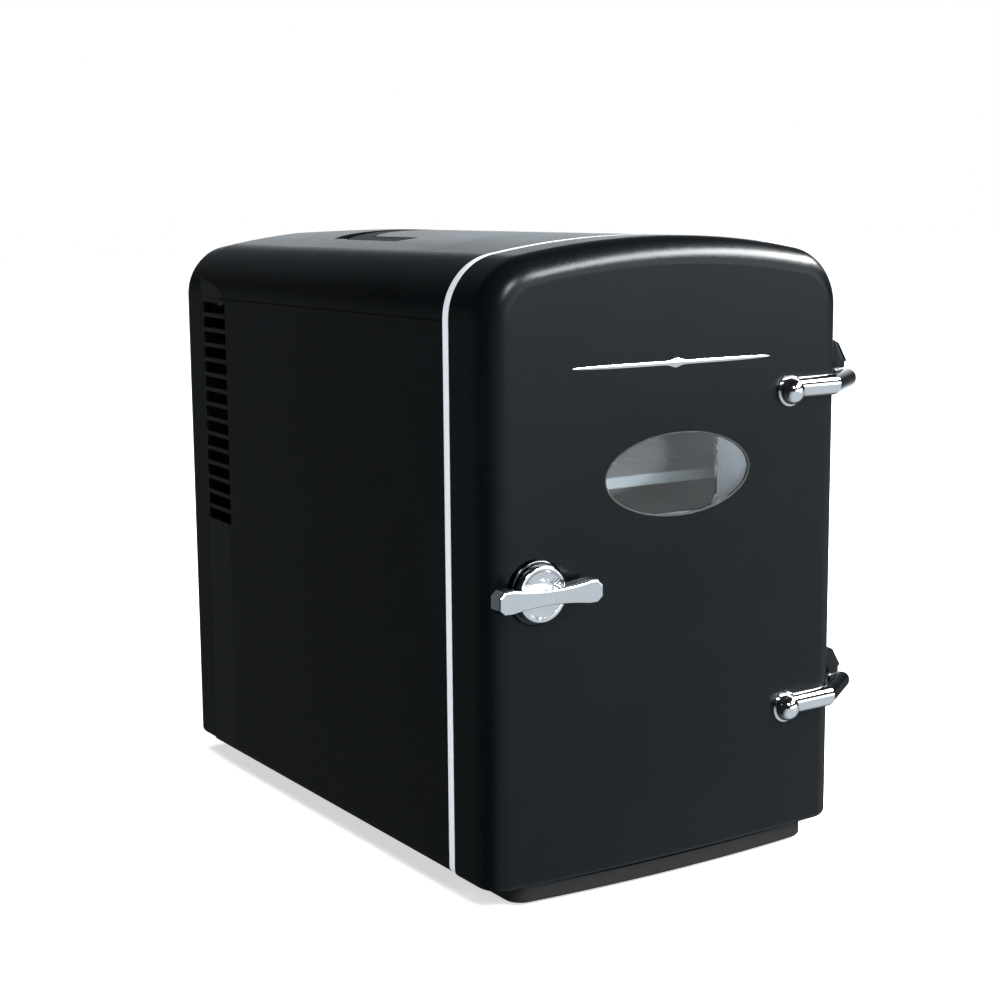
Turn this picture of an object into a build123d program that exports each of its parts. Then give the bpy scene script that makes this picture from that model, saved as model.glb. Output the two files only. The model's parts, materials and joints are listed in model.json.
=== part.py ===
from build123d import *
from math import cos, pi, sin, sqrt
import os

# Retro countertop mini fridge: a thermoelectric cooler with a crowned cabinet and one side-hinged door.
# Frame: X to the right seen from the front, Y towards the back, Z up, in millimetres. The origin is in the
# middle plane, at the front of the cabinet where the trim ring meets it, on the underside of the base plate.

os.makedirs("parts", exist_ok=True)

# ---- driving dimensions: cabinet
WIDTH = 178.0  # over the side panels
BODY_H = 253.0  # cabinet height, bottom edge to the middle of the crown
BODY_D = 229.0  # length of the side panels
REAR_D = 22.0  # depth of the rear cover
WALL = 3.0  # moulded panels
CORNER_R = 25.0  # upper corners
CROWN_R = 380.0  # gentle arch of the top
BOTTOM_R = 4.0  # lower corners
SEAM_H = 222.0  # side panels end and the top shell begins
FLANGE = 12.0  # foot of a side panel, turned in under the cabinet
REAR_INSET = 1.6  # the rear cover is this much smaller all round
VENT_TAPER_D = 28.0  # length of the tapered strip with the vents
SEAM_GAP = 0.4  # width and depth of the grooves where the shells meet
SEAM_DEPTH = 1.4
BASE_H = 7.5  # base plate
BASE_HALF = 76.0
BASE_FRONT = 27.0  # front corners before rounding
BASE_BULGE = 4.0
BASE_BACK = 203.5
BASE_R = 8.0
LIFT = 0.8  # the plate steps down by this under the door
FOOT_H = 1.5  # rubber feet below the base plate
FOOT_R = 6.0
FOOT_SEAT = 1.2  # depth of the pockets the feet stand in
FOOT_PITCH_X = 126.0
FOOT_PITCH_Y = 196.0
BASE_SCREW_PITCH_X = 100.0
BASE_SCREW_PITCH_Y = 140.0
TRIM_D = 3.8  # trim ring
TRIM_W = 9.0

# ---- driving dimensions: vents
VENTS = 15
VENT_PITCH = 7.18
VENT_H = 5.2
VENT_L = 28.0
VENT_R = 1.0
VENT_END = 2.0  # wall left behind the vents
VENT_TOP_H = 217.1  # middle of the highest vent

# ---- driving dimensions: cavity
CAVITY_W = 140.0
CAVITY_D = 148.0
CAVITY_FLOOR_H = 24.0
CAVITY_TOP_H = 220.0
CAVITY_R = 9.0
LINER = 1.5
SHELF_H = 147.0  # underside of the shelf's front lip
SHELF_LIP = 5.0
SHELF_T = 2.6
SHELF_FRONT = 12.0
SHELF_BACK = 130.0
RAIL = 2.0
COOL_H = 150.0  # middle of the cooling unit

# ---- driving dimensions: door
DOOR_BACK = 4.2  # door's back edge in front of the cabinet
DOOR_FRONT = 34.0  # door's furthest front
DOOR_CURVE_R = 1150.0  # the front bows by about 3.4 mm
DOOR_EDGE_R = 11.0
DOOR_BOTTOM_R = 3.0
SKIN = 2.5
DOOR_LINER_T = 2.2
GASKET_W = 6.0
WINDOW_A = 36.5  # half axes of the oval pane
WINDOW_B = 17.0
WINDOW_H = 159.0
FRAME_W = 86.0  # window frame behind the oval pane
FRAME_H = 46.0
FRAME_T = 2.0
FRAME_R = 9.0

# ---- driving dimensions: latch
LATCH_X = -68.0
LATCH_H = 118.7
SEAT_Y = -31.0  # flat seat under the latch escutcheon
ESCUTCHEON_R = 12.8
ESCUTCHEON_T = 2.3
HUB_R = 11.2
HUB_T = 3.6
BAR_L = 47.5
BAR_T = 6.4
BAR_END_HALF = 4.6  # half height at the bar's ends
BAR_WAIST_HALF = 3.1
SPINDLE_R = 3.4
STUB_R = 2.4  # spindle's end inside the cam
CAM_L = 11.5
CAM_W = 6.4
CAM_HUB_R = 3.6
CAM_T = 2.4
CAM_Y = 3.2
CAM_SCREW_R = 3.3
CAM_SCREW_T = 1.4
POCKET_X = -81.0  # left side of the pocket that the latch cam turns into
POCKET_LOW = 6.0
POCKET_HIGH = 13.5
POCKET_D = 8.0
POCKET_LIP = 7.8  # width of the lip left in front of the pocket
KEEPER_T = 1.2

# ---- driving dimensions: hinges
PIVOT_X = 98.0
PIVOT_Y = -15.0
HINGE_HEIGHTS = (54.0, 188.5)
PIN_R = 2.0
PIN_HEAD_R = 3.0
PIN_HEAD_T = 1.2
RUN = 0.06  # radial running clearance of pins and shafts
KNUCKLE_R = 5.0
ARM_LOW = -3.2  # a leaf's arm and a bracket's lug, from the middle of the hinge
ARM_HIGH = 5.8
ARM_W = 9.2
ARM_EDGE_R = 4.2
ARM_PATH = ((58.0, -33.6), (81.0, -32.6), (105.4, -15.2))
LUG_LOW = 6.3
LUG_HIGH = 9.2
BULB_R = 5.7
BULB_Y = -33.8
FLANGE_R = 6.4
FLANGE_Y = -33.4
LEAF_GAP = 0.15  # between a hinge leaf and the curved door
SIDE_GAP = 1.3  # the bracket stands off the side panel, clear of the seam
PLATE_X = 92.6  # outer face of the bracket's plate
PLATE_BACK = 28.0
NECK_HALF = 3.5  # inboard of the pin the bracket must stay clear of the swinging door
SCREW_YS = (9.0, 21.0)

# ---- driving dimensions: carry handle
GRIP_Y = 116.0  # centre of the grip's arcs
GRIP_OUT_R = 59.0
GRIP_IN_R = 48.0
LEG_OUT_X = 50.0
LEG_IN_X = 39.5
LEG_END_R = 7.2  # a leg's end is round about the trunnion
GRIP_T = 11.5  # at the middle of the crown
GAP_R = 68.0  # rear arc of the finger gap
GAP_X = 49.0
CUP_DEPTH = 18.5
CUP_WALL = 1.6
HANDLE_FIT = 0.6  # gap round the folded handle
GRIP_FIT = 1.4  # gap inside the grip, which swings inwards as it rises
TRUNNION_Y = 110.0
TRUNNION_R = 2.0

# ---- places worked out from the driving dimensions
HALF = WIDTH / 2
TOP_Z = BASE_H + BODY_H
SEAM_Z = BASE_H + SEAM_H
FLOOR_Z = BASE_H + CAVITY_FLOOR_H
CEILING_Z = BASE_H + CAVITY_TOP_H
COOL_Z = BASE_H + COOL_H
WINDOW_Z = BASE_H + WINDOW_H
LATCH_Z = BASE_H + LATCH_H
SHELF_Z = BASE_H + SHELF_H + SHELF_LIP
REAR_Y = BODY_D + REAR_D
CUP_FLOOR_Z = TOP_Z - CUP_DEPTH
GROOVE_FRONT_Y = TRUNNION_Y - LEG_END_R - HANDLE_FIT
BASE_MID_Y = (BASE_BACK - BASE_FRONT) / 2
TRUNNION_Z = TOP_Z - 9.2
SLIM = 0.2  # slack between stacked pieces of one body


def front(y):
    """Upright plane at depth y that faces the front, so extruding goes towards the front."""
    return Plane.XZ.offset(-y)


def outline(inset=0.0, bottom_r=BOTTOM_R, mode=Mode.ADD):
    """The cabinet's front outline, set in by inset, as a face of the open upright sketch."""
    half = HALF - inset
    low = BASE_H + inset
    corner_x = HALF - CORNER_R
    crown_z = TOP_Z - CROWN_R
    corner_z = crown_z + sqrt((CROWN_R - CORNER_R) ** 2 - corner_x**2)
    tangent = Vector(corner_x, corner_z - crown_z).normalized()
    join = (tangent.X * (CROWN_R - inset), crown_z + tangent.Y * (CROWN_R - inset))
    bend = (tangent + Vector(1, 0)).normalized() * (CORNER_R - inset)
    r = max(bottom_r - inset, 0.0)
    cut = r * (1 - sqrt(0.5))
    with BuildLine() as edge:
        ThreePointArc((-join[0], join[1]), (0, TOP_Z - inset), join)
        ThreePointArc(join, (corner_x + bend.X, corner_z + bend.Y), (half, corner_z))
        ThreePointArc((-half, corner_z), (-corner_x - bend.X, corner_z + bend.Y), (-join[0], join[1]))
        Line((half, corner_z), (half, low + r))
        Line((half - r, low), (r - half, low))
        Line((-half, low + r), (-half, corner_z))
        if r > 0:
            ThreePointArc((half, low + r), (half - cut, low + cut), (half - r, low))
            ThreePointArc((r - half, low), (cut - half, low + cut), (-half, low + r))
    make_face(edge.edges(), mode=mode)


def save(piece, name):
    """Labels a finished piece and writes it to its own file."""
    piece.part.label = name
    export_step(piece.part, f"parts/{name}.step")


# ======== cabinet shells ========
with BuildPart() as side_panel_right:
    with BuildSketch(front(BODY_D)):
        outline()
        outline(WALL, mode=Mode.SUBTRACT)
        with Locations((HALF, SEAM_Z)):
            Rectangle(2 * FLANGE, 2 * SEAM_Z, align=(Align.CENTER, Align.MAX), mode=Mode.INTERSECT)
        # groove along the seam with the top shell
        with Locations((HALF, SEAM_Z)):
            Rectangle(2 * SEAM_DEPTH, 2 * SEAM_GAP, mode=Mode.SUBTRACT)
    extrude(amount=BODY_D)
    # the strip with the vents leans in to meet the smaller rear cover
    with BuildSketch(Plane.XY):
        with BuildLine():
            Polyline(
                (HALF, BODY_D - VENT_TAPER_D),
                (HALF + WALL, BODY_D - VENT_TAPER_D),
                (HALF + WALL, BODY_D),
                (HALF - REAR_INSET, BODY_D),
                close=True,
            )
        make_face()
    extrude(amount=TOP_Z, mode=Mode.SUBTRACT)
    vents_mid_h = VENT_TOP_H - VENT_PITCH * (VENTS - 1) / 2
    with BuildSketch(Plane.YZ.offset(HALF - 2 * WALL)):
        with Locations((BODY_D - VENT_END - VENT_L / 2, BASE_H + vents_mid_h)):
            with GridLocations(1, VENT_PITCH, 1, VENTS):
                RectangleRounded(VENT_L, VENT_H, VENT_R)
    extrude(amount=3 * WALL, mode=Mode.SUBTRACT)
save(side_panel_right, "side_panel_right")

with BuildPart() as side_panel_left:
    mirror(side_panel_right.part, about=Plane.YZ)
save(side_panel_left, "side_panel_left")

with BuildPart() as bottom_panel:
    with BuildSketch(Plane.XY.offset(BASE_H)):
        with Locations((0, BODY_D / 2)):
            Rectangle(2 * (HALF - FLANGE), BODY_D)
    extrude(amount=WALL)
save(bottom_panel, "bottom_panel")


def grip_plan(out_r, in_r, out_x, in_x, front_y):
    """Plan of the folded handle or its recess: two straight legs joined behind by an arched grip."""
    out_y = GRIP_Y + sqrt(out_r**2 - out_x**2)
    in_y = GRIP_Y + sqrt(in_r**2 - in_x**2)
    with BuildLine() as edge:
        ThreePointArc((-out_x, out_y), (0, GRIP_Y + out_r), (out_x, out_y))
        Polyline((out_x, out_y), (out_x, front_y), (in_x, front_y), (in_x, in_y))
        ThreePointArc((in_x, in_y), (0, GRIP_Y + in_r), (-in_x, in_y))
        Polyline((-in_x, in_y), (-in_x, front_y), (-out_x, front_y), (-out_x, out_y))
    make_face(edge.edges())


def handle_recess(grow=0.0):
    """Plan of the recess round the folded handle, with the finger gap behind the grip."""
    in_r = GRIP_IN_R - GRIP_FIT
    grip_plan(GRIP_OUT_R + HANDLE_FIT, in_r, LEG_OUT_X + HANDLE_FIT, LEG_IN_X - HANDLE_FIT, GROOVE_FRONT_Y)
    gap_y = GRIP_Y + sqrt(GAP_R**2 - GAP_X**2)
    grip_y = GRIP_Y + sqrt(GRIP_OUT_R**2 - GAP_X**2)
    with BuildLine() as edge:
        ThreePointArc((-GAP_X, gap_y), (0, GRIP_Y + GAP_R), (GAP_X, gap_y))
        Line((GAP_X, gap_y), (GAP_X, grip_y))
        ThreePointArc((GAP_X, grip_y), (0, GRIP_Y + GRIP_OUT_R), (-GAP_X, grip_y))
        Line((-GAP_X, grip_y), (-GAP_X, gap_y))
    make_face(edge.edges())
    if grow:
        offset(amount=grow, kind=Kind.INTERSECTION)


with BuildPart() as top_shell:
    with BuildSketch(front(BODY_D)):
        outline()
        outline(WALL, mode=Mode.SUBTRACT)
        with Locations((0, SEAM_Z)):
            Rectangle(2 * WIDTH, BODY_H, align=(Align.CENTER, Align.MIN), mode=Mode.INTERSECT)
    extrude(amount=BODY_D)
    with BuildSketch(Plane.XY.offset(SEAM_Z)):
        handle_recess()
    extrude(amount=BODY_H, mode=Mode.SUBTRACT)
    # the sides narrow towards the rear cover, like the side panels below
    with BuildSketch(Plane.XY.offset(SEAM_Z)):
        with BuildLine():
            Polyline(
                (HALF, BODY_D - VENT_TAPER_D),
                (HALF + WALL, BODY_D - VENT_TAPER_D),
                (HALF + WALL, BODY_D),
                (HALF - REAR_INSET, BODY_D),
                close=True,
            )
        make_face()
        mirror(about=Plane.YZ)
    extrude(amount=BODY_H, mode=Mode.SUBTRACT)
    # and the crown falls away by the same amount
    with BuildSketch(Plane.YZ):
        with BuildLine():
            Polyline(
                (BODY_D - VENT_TAPER_D, TOP_Z),
                (BODY_D - VENT_TAPER_D, TOP_Z + WALL),
                (BODY_D, TOP_Z + WALL),
                (BODY_D, TOP_Z - REAR_INSET),
                close=True,
            )
        make_face()
    extrude(amount=WIDTH, both=True, mode=Mode.SUBTRACT)
save(top_shell, "top_shell")

with BuildPart() as handle_cup:
    with BuildSketch(Plane.XY.offset(CUP_FLOOR_Z - CUP_WALL)):
        handle_recess(CUP_WALL)
    extrude(amount=CUP_DEPTH + CUP_WALL)
    with BuildSketch(front(BODY_D)):
        outline(WALL)
    extrude(amount=BODY_D, mode=Mode.INTERSECT)
    with BuildSketch(Plane.XY.offset(CUP_FLOOR_Z)):
        handle_recess()
    extrude(amount=CUP_DEPTH, mode=Mode.SUBTRACT)
    for side in (-1, 1):
        with BuildSketch(Plane.YZ.offset(side * (LEG_OUT_X - CUP_WALL))):
            with Locations((TRUNNION_Y, TRUNNION_Z)):
                Circle(TRUNNION_R + RUN)
        extrude(amount=side * 3 * CUP_WALL, mode=Mode.SUBTRACT)
save(handle_cup, "handle_cup")

with BuildPart() as carry_handle:
    with BuildSketch(Plane.XY.offset(TOP_Z - GRIP_T)):
        grip_plan(GRIP_OUT_R, GRIP_IN_R, LEG_OUT_X, LEG_IN_X, TRUNNION_Y)
    extrude(amount=GRIP_T)
    for side in (-1, 1):
        with BuildSketch(Plane.YZ.offset(side * LEG_IN_X)):
            with Locations((TRUNNION_Y, TRUNNION_Z)):
                Circle(LEG_END_R)
                Rectangle(2 * LEG_END_R, 2 * LEG_END_R, align=(Align.MIN, Align.CENTER), mode=Mode.SUBTRACT)
            with Locations((TRUNNION_Y, TOP_Z - GRIP_T)):
                Rectangle(4 * LEG_END_R, 2 * LEG_END_R, align=(Align.CENTER, Align.MAX), mode=Mode.SUBTRACT)
        extrude(amount=side * (LEG_OUT_X - LEG_IN_X))
    with BuildSketch(front(BODY_D)):
        outline(SLIM)
    extrude(amount=BODY_D, mode=Mode.INTERSECT)
    for side in (-1, 1):
        with BuildSketch(Plane.YZ.offset(side * (LEG_OUT_X - 1))):
            with Locations((TRUNNION_Y, TRUNNION_Z)):
                Circle(TRUNNION_R)
        extrude(amount=side * (1 + HANDLE_FIT + CUP_WALL))
save(carry_handle, "carry_handle")

with BuildPart() as trim_ring:
    with BuildSketch(front(0)):
        outline()
        outline(TRIM_W, mode=Mode.SUBTRACT)
    extrude(amount=TRIM_D)
    chamfer(trim_ring.faces().sort_by(Axis.Y)[0].outer_wire().edges(), 0.6)
save(trim_ring, "trim_ring")

# ======== base ========
BASE_SCREW_HEAD_R = 3.6
BASE_SCREW_HEAD_T = 2.4
BASE_SCREW_R = 1.8
BASE_SCREW_Z = 0.6  # screw heads sit this deep in the plate
with BuildPart() as base_plate:
    with BuildSketch(Plane.XY) as plan:
        with BuildLine():
            Polyline(
                (BASE_HALF, -BASE_FRONT),
                (BASE_HALF, BASE_BACK),
                (-BASE_HALF, BASE_BACK),
                (-BASE_HALF, -BASE_FRONT),
            )
            bulge = (0, -BASE_FRONT - BASE_BULGE)
            ThreePointArc((-BASE_HALF, -BASE_FRONT), bulge, (BASE_HALF, -BASE_FRONT))
        make_face()
        fillet(plan.vertices(), BASE_R)
    extrude(amount=BASE_H)
    chamfer(base_plate.faces().sort_by(Axis.Z)[0].edges(), 1.0)
    with BuildSketch(Plane.XY.offset(BASE_H - LIFT)):
        Rectangle(WIDTH, 2 * BASE_BACK, align=(Align.CENTER, Align.MAX))
    extrude(amount=LIFT, mode=Mode.SUBTRACT)
    with BuildSketch(Plane.XY):
        with Locations((0, BASE_MID_Y)):
            with GridLocations(FOOT_PITCH_X, FOOT_PITCH_Y, 2, 2):
                Circle(FOOT_R + SLIM / 2)
    extrude(amount=FOOT_SEAT, mode=Mode.SUBTRACT)
    with BuildSketch(Plane.XY):
        with Locations((0, BASE_MID_Y)):
            with GridLocations(BASE_SCREW_PITCH_X, BASE_SCREW_PITCH_Y, 2, 2):
                Circle(BASE_SCREW_R + SLIM)
    extrude(amount=BASE_H, mode=Mode.SUBTRACT)
    with BuildSketch(Plane.XY):
        with Locations((0, BASE_MID_Y)):
            with GridLocations(BASE_SCREW_PITCH_X, BASE_SCREW_PITCH_Y, 2, 2):
                Circle(BASE_SCREW_HEAD_R + 3 * SLIM)
    extrude(amount=BASE_SCREW_Z + BASE_SCREW_HEAD_T, mode=Mode.SUBTRACT)
save(base_plate, "base_plate")

with BuildPart() as rubber_feet:
    with BuildSketch(Plane.XY.offset(-FOOT_H)):
        with Locations((0, BASE_MID_Y)):
            with GridLocations(FOOT_PITCH_X, FOOT_PITCH_Y, 2, 2):
                Circle(FOOT_R)
    extrude(amount=FOOT_H + FOOT_SEAT)
    chamfer(rubber_feet.faces().group_by(Axis.Z)[0].edges(), 0.4)
save(rubber_feet, "rubber_feet")

with BuildPart() as base_screws:
    with BuildSketch(Plane.XY.offset(BASE_SCREW_Z)):
        with Locations((0, BASE_MID_Y)):
            with GridLocations(BASE_SCREW_PITCH_X, BASE_SCREW_PITCH_Y, 2, 2):
                Circle(BASE_SCREW_HEAD_R)
    extrude(amount=BASE_SCREW_HEAD_T)
    with BuildSketch(Plane.XY.offset(BASE_SCREW_Z)):
        with Locations((0, BASE_MID_Y)):
            with GridLocations(BASE_SCREW_PITCH_X, BASE_SCREW_PITCH_Y, 2, 2):
                Circle(BASE_SCREW_R)
    extrude(amount=BASE_H - BASE_SCREW_Z)
    with BuildSketch(Plane.XY.offset(BASE_SCREW_Z)):
        with Locations((0, BASE_MID_Y)):
            with GridLocations(BASE_SCREW_PITCH_X, BASE_SCREW_PITCH_Y, 2, 2):
                with PolarLocations(0, 2, 0, 180):
                    Rectangle(3.8, 0.9)
    extrude(amount=1.1, mode=Mode.SUBTRACT)
save(base_screws, "base_screws")

# ======== cavity ========
CAVITY_MID_Z = (FLOOR_Z + CEILING_Z) / 2
CAVITY_H = CAVITY_TOP_H - CAVITY_FLOOR_H
POCKET_H = POCKET_LOW + POCKET_HIGH
COLD_HOLE_R = 26.0
with BuildPart() as cavity_liner:
    with BuildSketch(front(CAVITY_D + LINER)):
        with Locations((0, CAVITY_MID_Z)):
            RectangleRounded(CAVITY_W + 2 * LINER, CAVITY_H + 2 * LINER, CAVITY_R + LINER)
    extrude(amount=CAVITY_D + LINER)
    with BuildSketch(front(LINER)):
        outline(WALL + SLIM)
    extrude(amount=LINER)
    with BuildSketch(front(POCKET_D + LINER)):
        with Locations((0, LATCH_Z - POCKET_LOW - LINER)):
            Rectangle(2 * (LINER - POCKET_X), POCKET_H + 2 * LINER, align=(Align.CENTER, Align.MIN))
        with Locations((HALF, LATCH_Z)):
            Rectangle(2 * HALF, BODY_H, mode=Mode.SUBTRACT)
    extrude(amount=POCKET_D + LINER)
    with BuildSketch(front(CAVITY_D)):
        with Locations((0, CAVITY_MID_Z)):
            RectangleRounded(CAVITY_W, CAVITY_H, CAVITY_R)
    extrude(amount=CAVITY_D, mode=Mode.SUBTRACT)
    with BuildSketch(front(POCKET_D)):
        with Locations((POCKET_X, LATCH_Z - POCKET_LOW)):
            Rectangle(2 * LINER - POCKET_X - CAVITY_W / 2, POCKET_H, align=(Align.MIN, Align.MIN))
    extrude(amount=POCKET_D - LINER, mode=Mode.SUBTRACT)
    # way in for the cam, beside the lip it turns behind
    with BuildSketch(front(LINER)):
        with Locations((POCKET_X + POCKET_LIP, LATCH_Z - POCKET_LOW)):
            Rectangle(2 * POCKET_LIP, POCKET_H, align=(Align.MIN, Align.MIN))
    extrude(amount=LINER, mode=Mode.SUBTRACT)
    for side in (-1, 1):
        with BuildSketch(front(SHELF_BACK)):
            with Locations((side * (CAVITY_W / 2 - RAIL / 2), SHELF_Z - SHELF_T - 1.5)):
                Rectangle(RAIL, 3.0)
        extrude(amount=SHELF_BACK - SHELF_FRONT - 5)
    with BuildSketch(front(CAVITY_D + LINER)):
        with Locations((0, COOL_Z)):
            Circle(COLD_HOLE_R)
    extrude(amount=2 * LINER, mode=Mode.SUBTRACT)
save(cavity_liner, "cavity_liner")

with BuildPart() as shelf:
    with BuildSketch(Plane.XY.offset(SHELF_Z - SHELF_T)):
        with Locations((0, (SHELF_FRONT + SHELF_BACK) / 2)):
            Rectangle(CAVITY_W - 1.2, SHELF_BACK - SHELF_FRONT)
            with Locations((0, 6)):
                with GridLocations(13.0, 1, 9, 1):
                    SlotOverall(84, 5.0, rotation=90, mode=Mode.SUBTRACT)
    extrude(amount=SHELF_T)
    with BuildSketch(front(SHELF_FRONT + 2.6)):
        with Locations((0, SHELF_Z - SHELF_LIP / 2)):
            Rectangle(CAVITY_W - 1.2, SHELF_LIP)
    extrude(amount=2.6)
    fillet(shelf.edges().filter_by(Axis.X).group_by(Axis.Y)[0], 0.8)
save(shelf, "shelf")


def foam_block(x_low, x_high, z_low, z_high, y_low, y_high):
    """One moulded block of insulation, between two depths."""
    with BuildSketch(front(y_high)) as profile:
        with Locations((x_low, z_low)):
            Rectangle(x_high - x_low, z_high - z_low, align=(Align.MIN, Align.MIN))
    extrude(profile.sketch, amount=y_high - y_low)


FOAM_FRONT = LINER + SLIM
FOAM_BACK = 183.0
FOAM_SLACK = 0.6  # clears the rounded inner corners of the side panels
FOAM_X = HALF - WALL - FOAM_SLACK
FOAM_LOW = BASE_H + WALL + FOAM_SLACK
LINER_X = CAVITY_W / 2 + LINER + SLIM
with BuildPart() as insulation_left:
    foam_block(-FOAM_X, -LINER_X, FOAM_LOW, CEILING_Z + LINER, FOAM_FRONT, FOAM_BACK)
    with BuildSketch(front(POCKET_D + LINER + SLIM)):
        with Locations((POCKET_X - LINER - SLIM, LATCH_Z - POCKET_LOW - LINER - SLIM)):
            Rectangle(20, POCKET_H + 2 * LINER + 2 * SLIM, align=(Align.MIN, Align.MIN))
    extrude(amount=POCKET_D + LINER + SLIM, mode=Mode.SUBTRACT)
save(insulation_left, "insulation_left")

with BuildPart() as insulation_right:
    foam_block(LINER_X, FOAM_X, FOAM_LOW, CEILING_Z + LINER, FOAM_FRONT, FOAM_BACK)
save(insulation_right, "insulation_right")

with BuildPart() as insulation_floor:
    foam_block(-LINER_X, LINER_X, BASE_H + WALL + SLIM, FLOOR_Z - LINER - SLIM, FOAM_FRONT, FOAM_BACK)
save(insulation_floor, "insulation_floor")

with BuildPart() as insulation_top:
    with BuildSketch(front(FOAM_BACK)):
        outline(WALL + 2 * SLIM)
        with Locations((0, CEILING_Z + LINER + SLIM)):
            Rectangle(2 * WIDTH, BODY_H, align=(Align.CENTER, Align.MIN), mode=Mode.INTERSECT)
    extrude(amount=FOAM_BACK - FOAM_FRONT)
    with BuildSketch(Plane.XY.offset(CUP_FLOOR_Z - CUP_WALL - SLIM)):
        with Locations((0, (GROOVE_FRONT_Y + GRIP_Y + GAP_R) / 2)):
            Rectangle(2 * (LEG_OUT_X + 8), GRIP_Y + GAP_R - GROOVE_FRONT_Y + 8)
    extrude(amount=BODY_H, mode=Mode.SUBTRACT)
save(insulation_top, "insulation_top")

SINK_W = 60.0
with BuildPart() as insulation_rear:
    foam_block(
        -LINER_X, LINER_X, FLOOR_Z - LINER, CEILING_Z + LINER, CAVITY_D + LINER + SLIM, FOAM_BACK - SLIM
    )
    with BuildSketch(front(FOAM_BACK)):
        with Locations((0, COOL_Z)):
            Rectangle(SINK_W + 2, SINK_W + 2)
    extrude(amount=FOAM_BACK - CAVITY_D, mode=Mode.SUBTRACT)
save(insulation_rear, "insulation_rear")

# ======== cooling unit ========
COLD_FIN_Y = 150.5
COLD_BASE_Y = 163.0
BLOCK_Y = 167.0
MODULE_Y = 179.0
HOT_BASE_Y = FOAM_BACK
HOT_FIN_Y = 188.0
HOT_END_Y = 206.0
HOT_W = 110.0
HOT_H = 96.0
BOLT_X = 26.0


def plate(y_front, y_back, width, height):
    """Upright plate centred on the cooling unit."""
    with BuildSketch(front(y_back)) as profile:
        with Locations((0, COOL_Z)):
            Rectangle(width, height)
    extrude(profile.sketch, amount=y_back - y_front)


def fins(y_front, y_back, width, height, count, thickness):
    """A row of upright fins across a heat sink."""
    with BuildSketch(front(y_back)) as profile:
        with Locations((0, COOL_Z)):
            with GridLocations((width - thickness) / (count - 1), 1, count, 1):
                Rectangle(thickness, height)
    extrude(profile.sketch, amount=y_back - y_front)


def bolt_rings(y_front, y_back, radius, mode=Mode.ADD):
    """The four places of the bolts that clamp the heat sinks together."""
    with BuildSketch(front(y_back)) as profile:
        with Locations((0, COOL_Z)):
            with GridLocations(2 * BOLT_X, 2 * BOLT_X, 2, 2):
                Circle(radius)
    extrude(profile.sketch, amount=y_back - y_front, mode=mode)


with BuildPart() as cold_sink:
    plate(COLD_BASE_Y, BLOCK_Y, SINK_W, SINK_W)
    fins(COLD_FIN_Y, COLD_BASE_Y, SINK_W, SINK_W, 13, 1.2)
    bolt_rings(COLD_FIN_Y, BLOCK_Y, 1.5 + RUN, Mode.SUBTRACT)
save(cold_sink, "cold_sink")

with BuildPart() as transfer_block:
    plate(BLOCK_Y, MODULE_Y, 40, 40)
save(transfer_block, "transfer_block")

with BuildPart() as thermoelectric_module:
    plate(MODULE_Y, HOT_BASE_Y, 40, 40)
save(thermoelectric_module, "thermoelectric_module")

with BuildPart() as hot_sink:
    plate(HOT_BASE_Y, HOT_FIN_Y, HOT_W, HOT_H)
    fins(HOT_FIN_Y, HOT_END_Y, HOT_W, HOT_H, 19, 1.4)
    bolt_rings(HOT_BASE_Y, HOT_FIN_Y, 1.5 + RUN, Mode.SUBTRACT)
    bolt_rings(HOT_FIN_Y, HOT_END_Y, 4.2, Mode.SUBTRACT)
save(hot_sink, "hot_sink")

with BuildPart() as sink_bolts:
    bolt_rings(COLD_BASE_Y, HOT_FIN_Y, 1.5)
    bolt_rings(HOT_FIN_Y, HOT_FIN_Y + 2.4, 3.0)
save(sink_bolts, "sink_bolts")


def rotor(y_front, y_back, hub_r, tip_r, blades, pitch, chord):
    """Fan rotor: a hub with pitched blades round it."""
    mid_y = (y_front + y_back) / 2
    with BuildSketch(front(y_back)) as hub:
        with Locations((0, COOL_Z)):
            Circle(hub_r)
    extrude(hub.sketch, amount=y_back - y_front)
    for number in range(blades):
        turn = 2 * pi * number / blades
        radial = Vector(cos(turn), 0, sin(turn))
        around = Vector(-sin(turn), 0, cos(turn))
        lean = around * cos(pitch) + Vector(0, sin(pitch), 0)
        root = Vector(0, mid_y, COOL_Z) + radial * (hub_r - 0.6)
        with BuildSketch(Plane(origin=root, x_dir=lean, z_dir=radial)) as blade:
            Rectangle(chord, 1.3)
        extrude(blade.sketch, amount=tip_r - hub_r + 0.6)


INNER_FAN_Y = 141.0
INNER_FAN_END = 146.4
COVER_Y = 134.0
COVER_R = 42.0
with BuildPart() as inner_fan_cover:
    with BuildSketch(front(CAVITY_D)):
        with Locations((0, COOL_Z)):
            Circle(COVER_R)
    extrude(amount=CAVITY_D - COVER_Y)
    fillet(inner_fan_cover.faces().sort_by(Axis.Y)[0].edges(), 4.0)
    with BuildSketch(front(CAVITY_D)):
        with Locations((0, COOL_Z)):
            Circle(COVER_R - 2.0)
    extrude(amount=CAVITY_D - COVER_Y - 2.0, mode=Mode.SUBTRACT)
    with BuildSketch(front(CAVITY_D)):
        for row in range(-4, 5):
            row_z = 7.0 * row
            if row:
                with Locations((0, COOL_Z + row_z)):
                    SlotOverall(2 * sqrt(33.0**2 - row_z**2), 3.4)
        with Locations((-25, COOL_Z), (25, COOL_Z)):
            SlotOverall(16, 3.4)
    extrude(amount=CAVITY_D, mode=Mode.SUBTRACT)
    with BuildSketch(front(COVER_Y + 2.0)):
        with Locations((0, COOL_Z)):
            Circle(12.0)
    extrude(amount=2.0)
save(inner_fan_cover, "inner_fan_cover")

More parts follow.
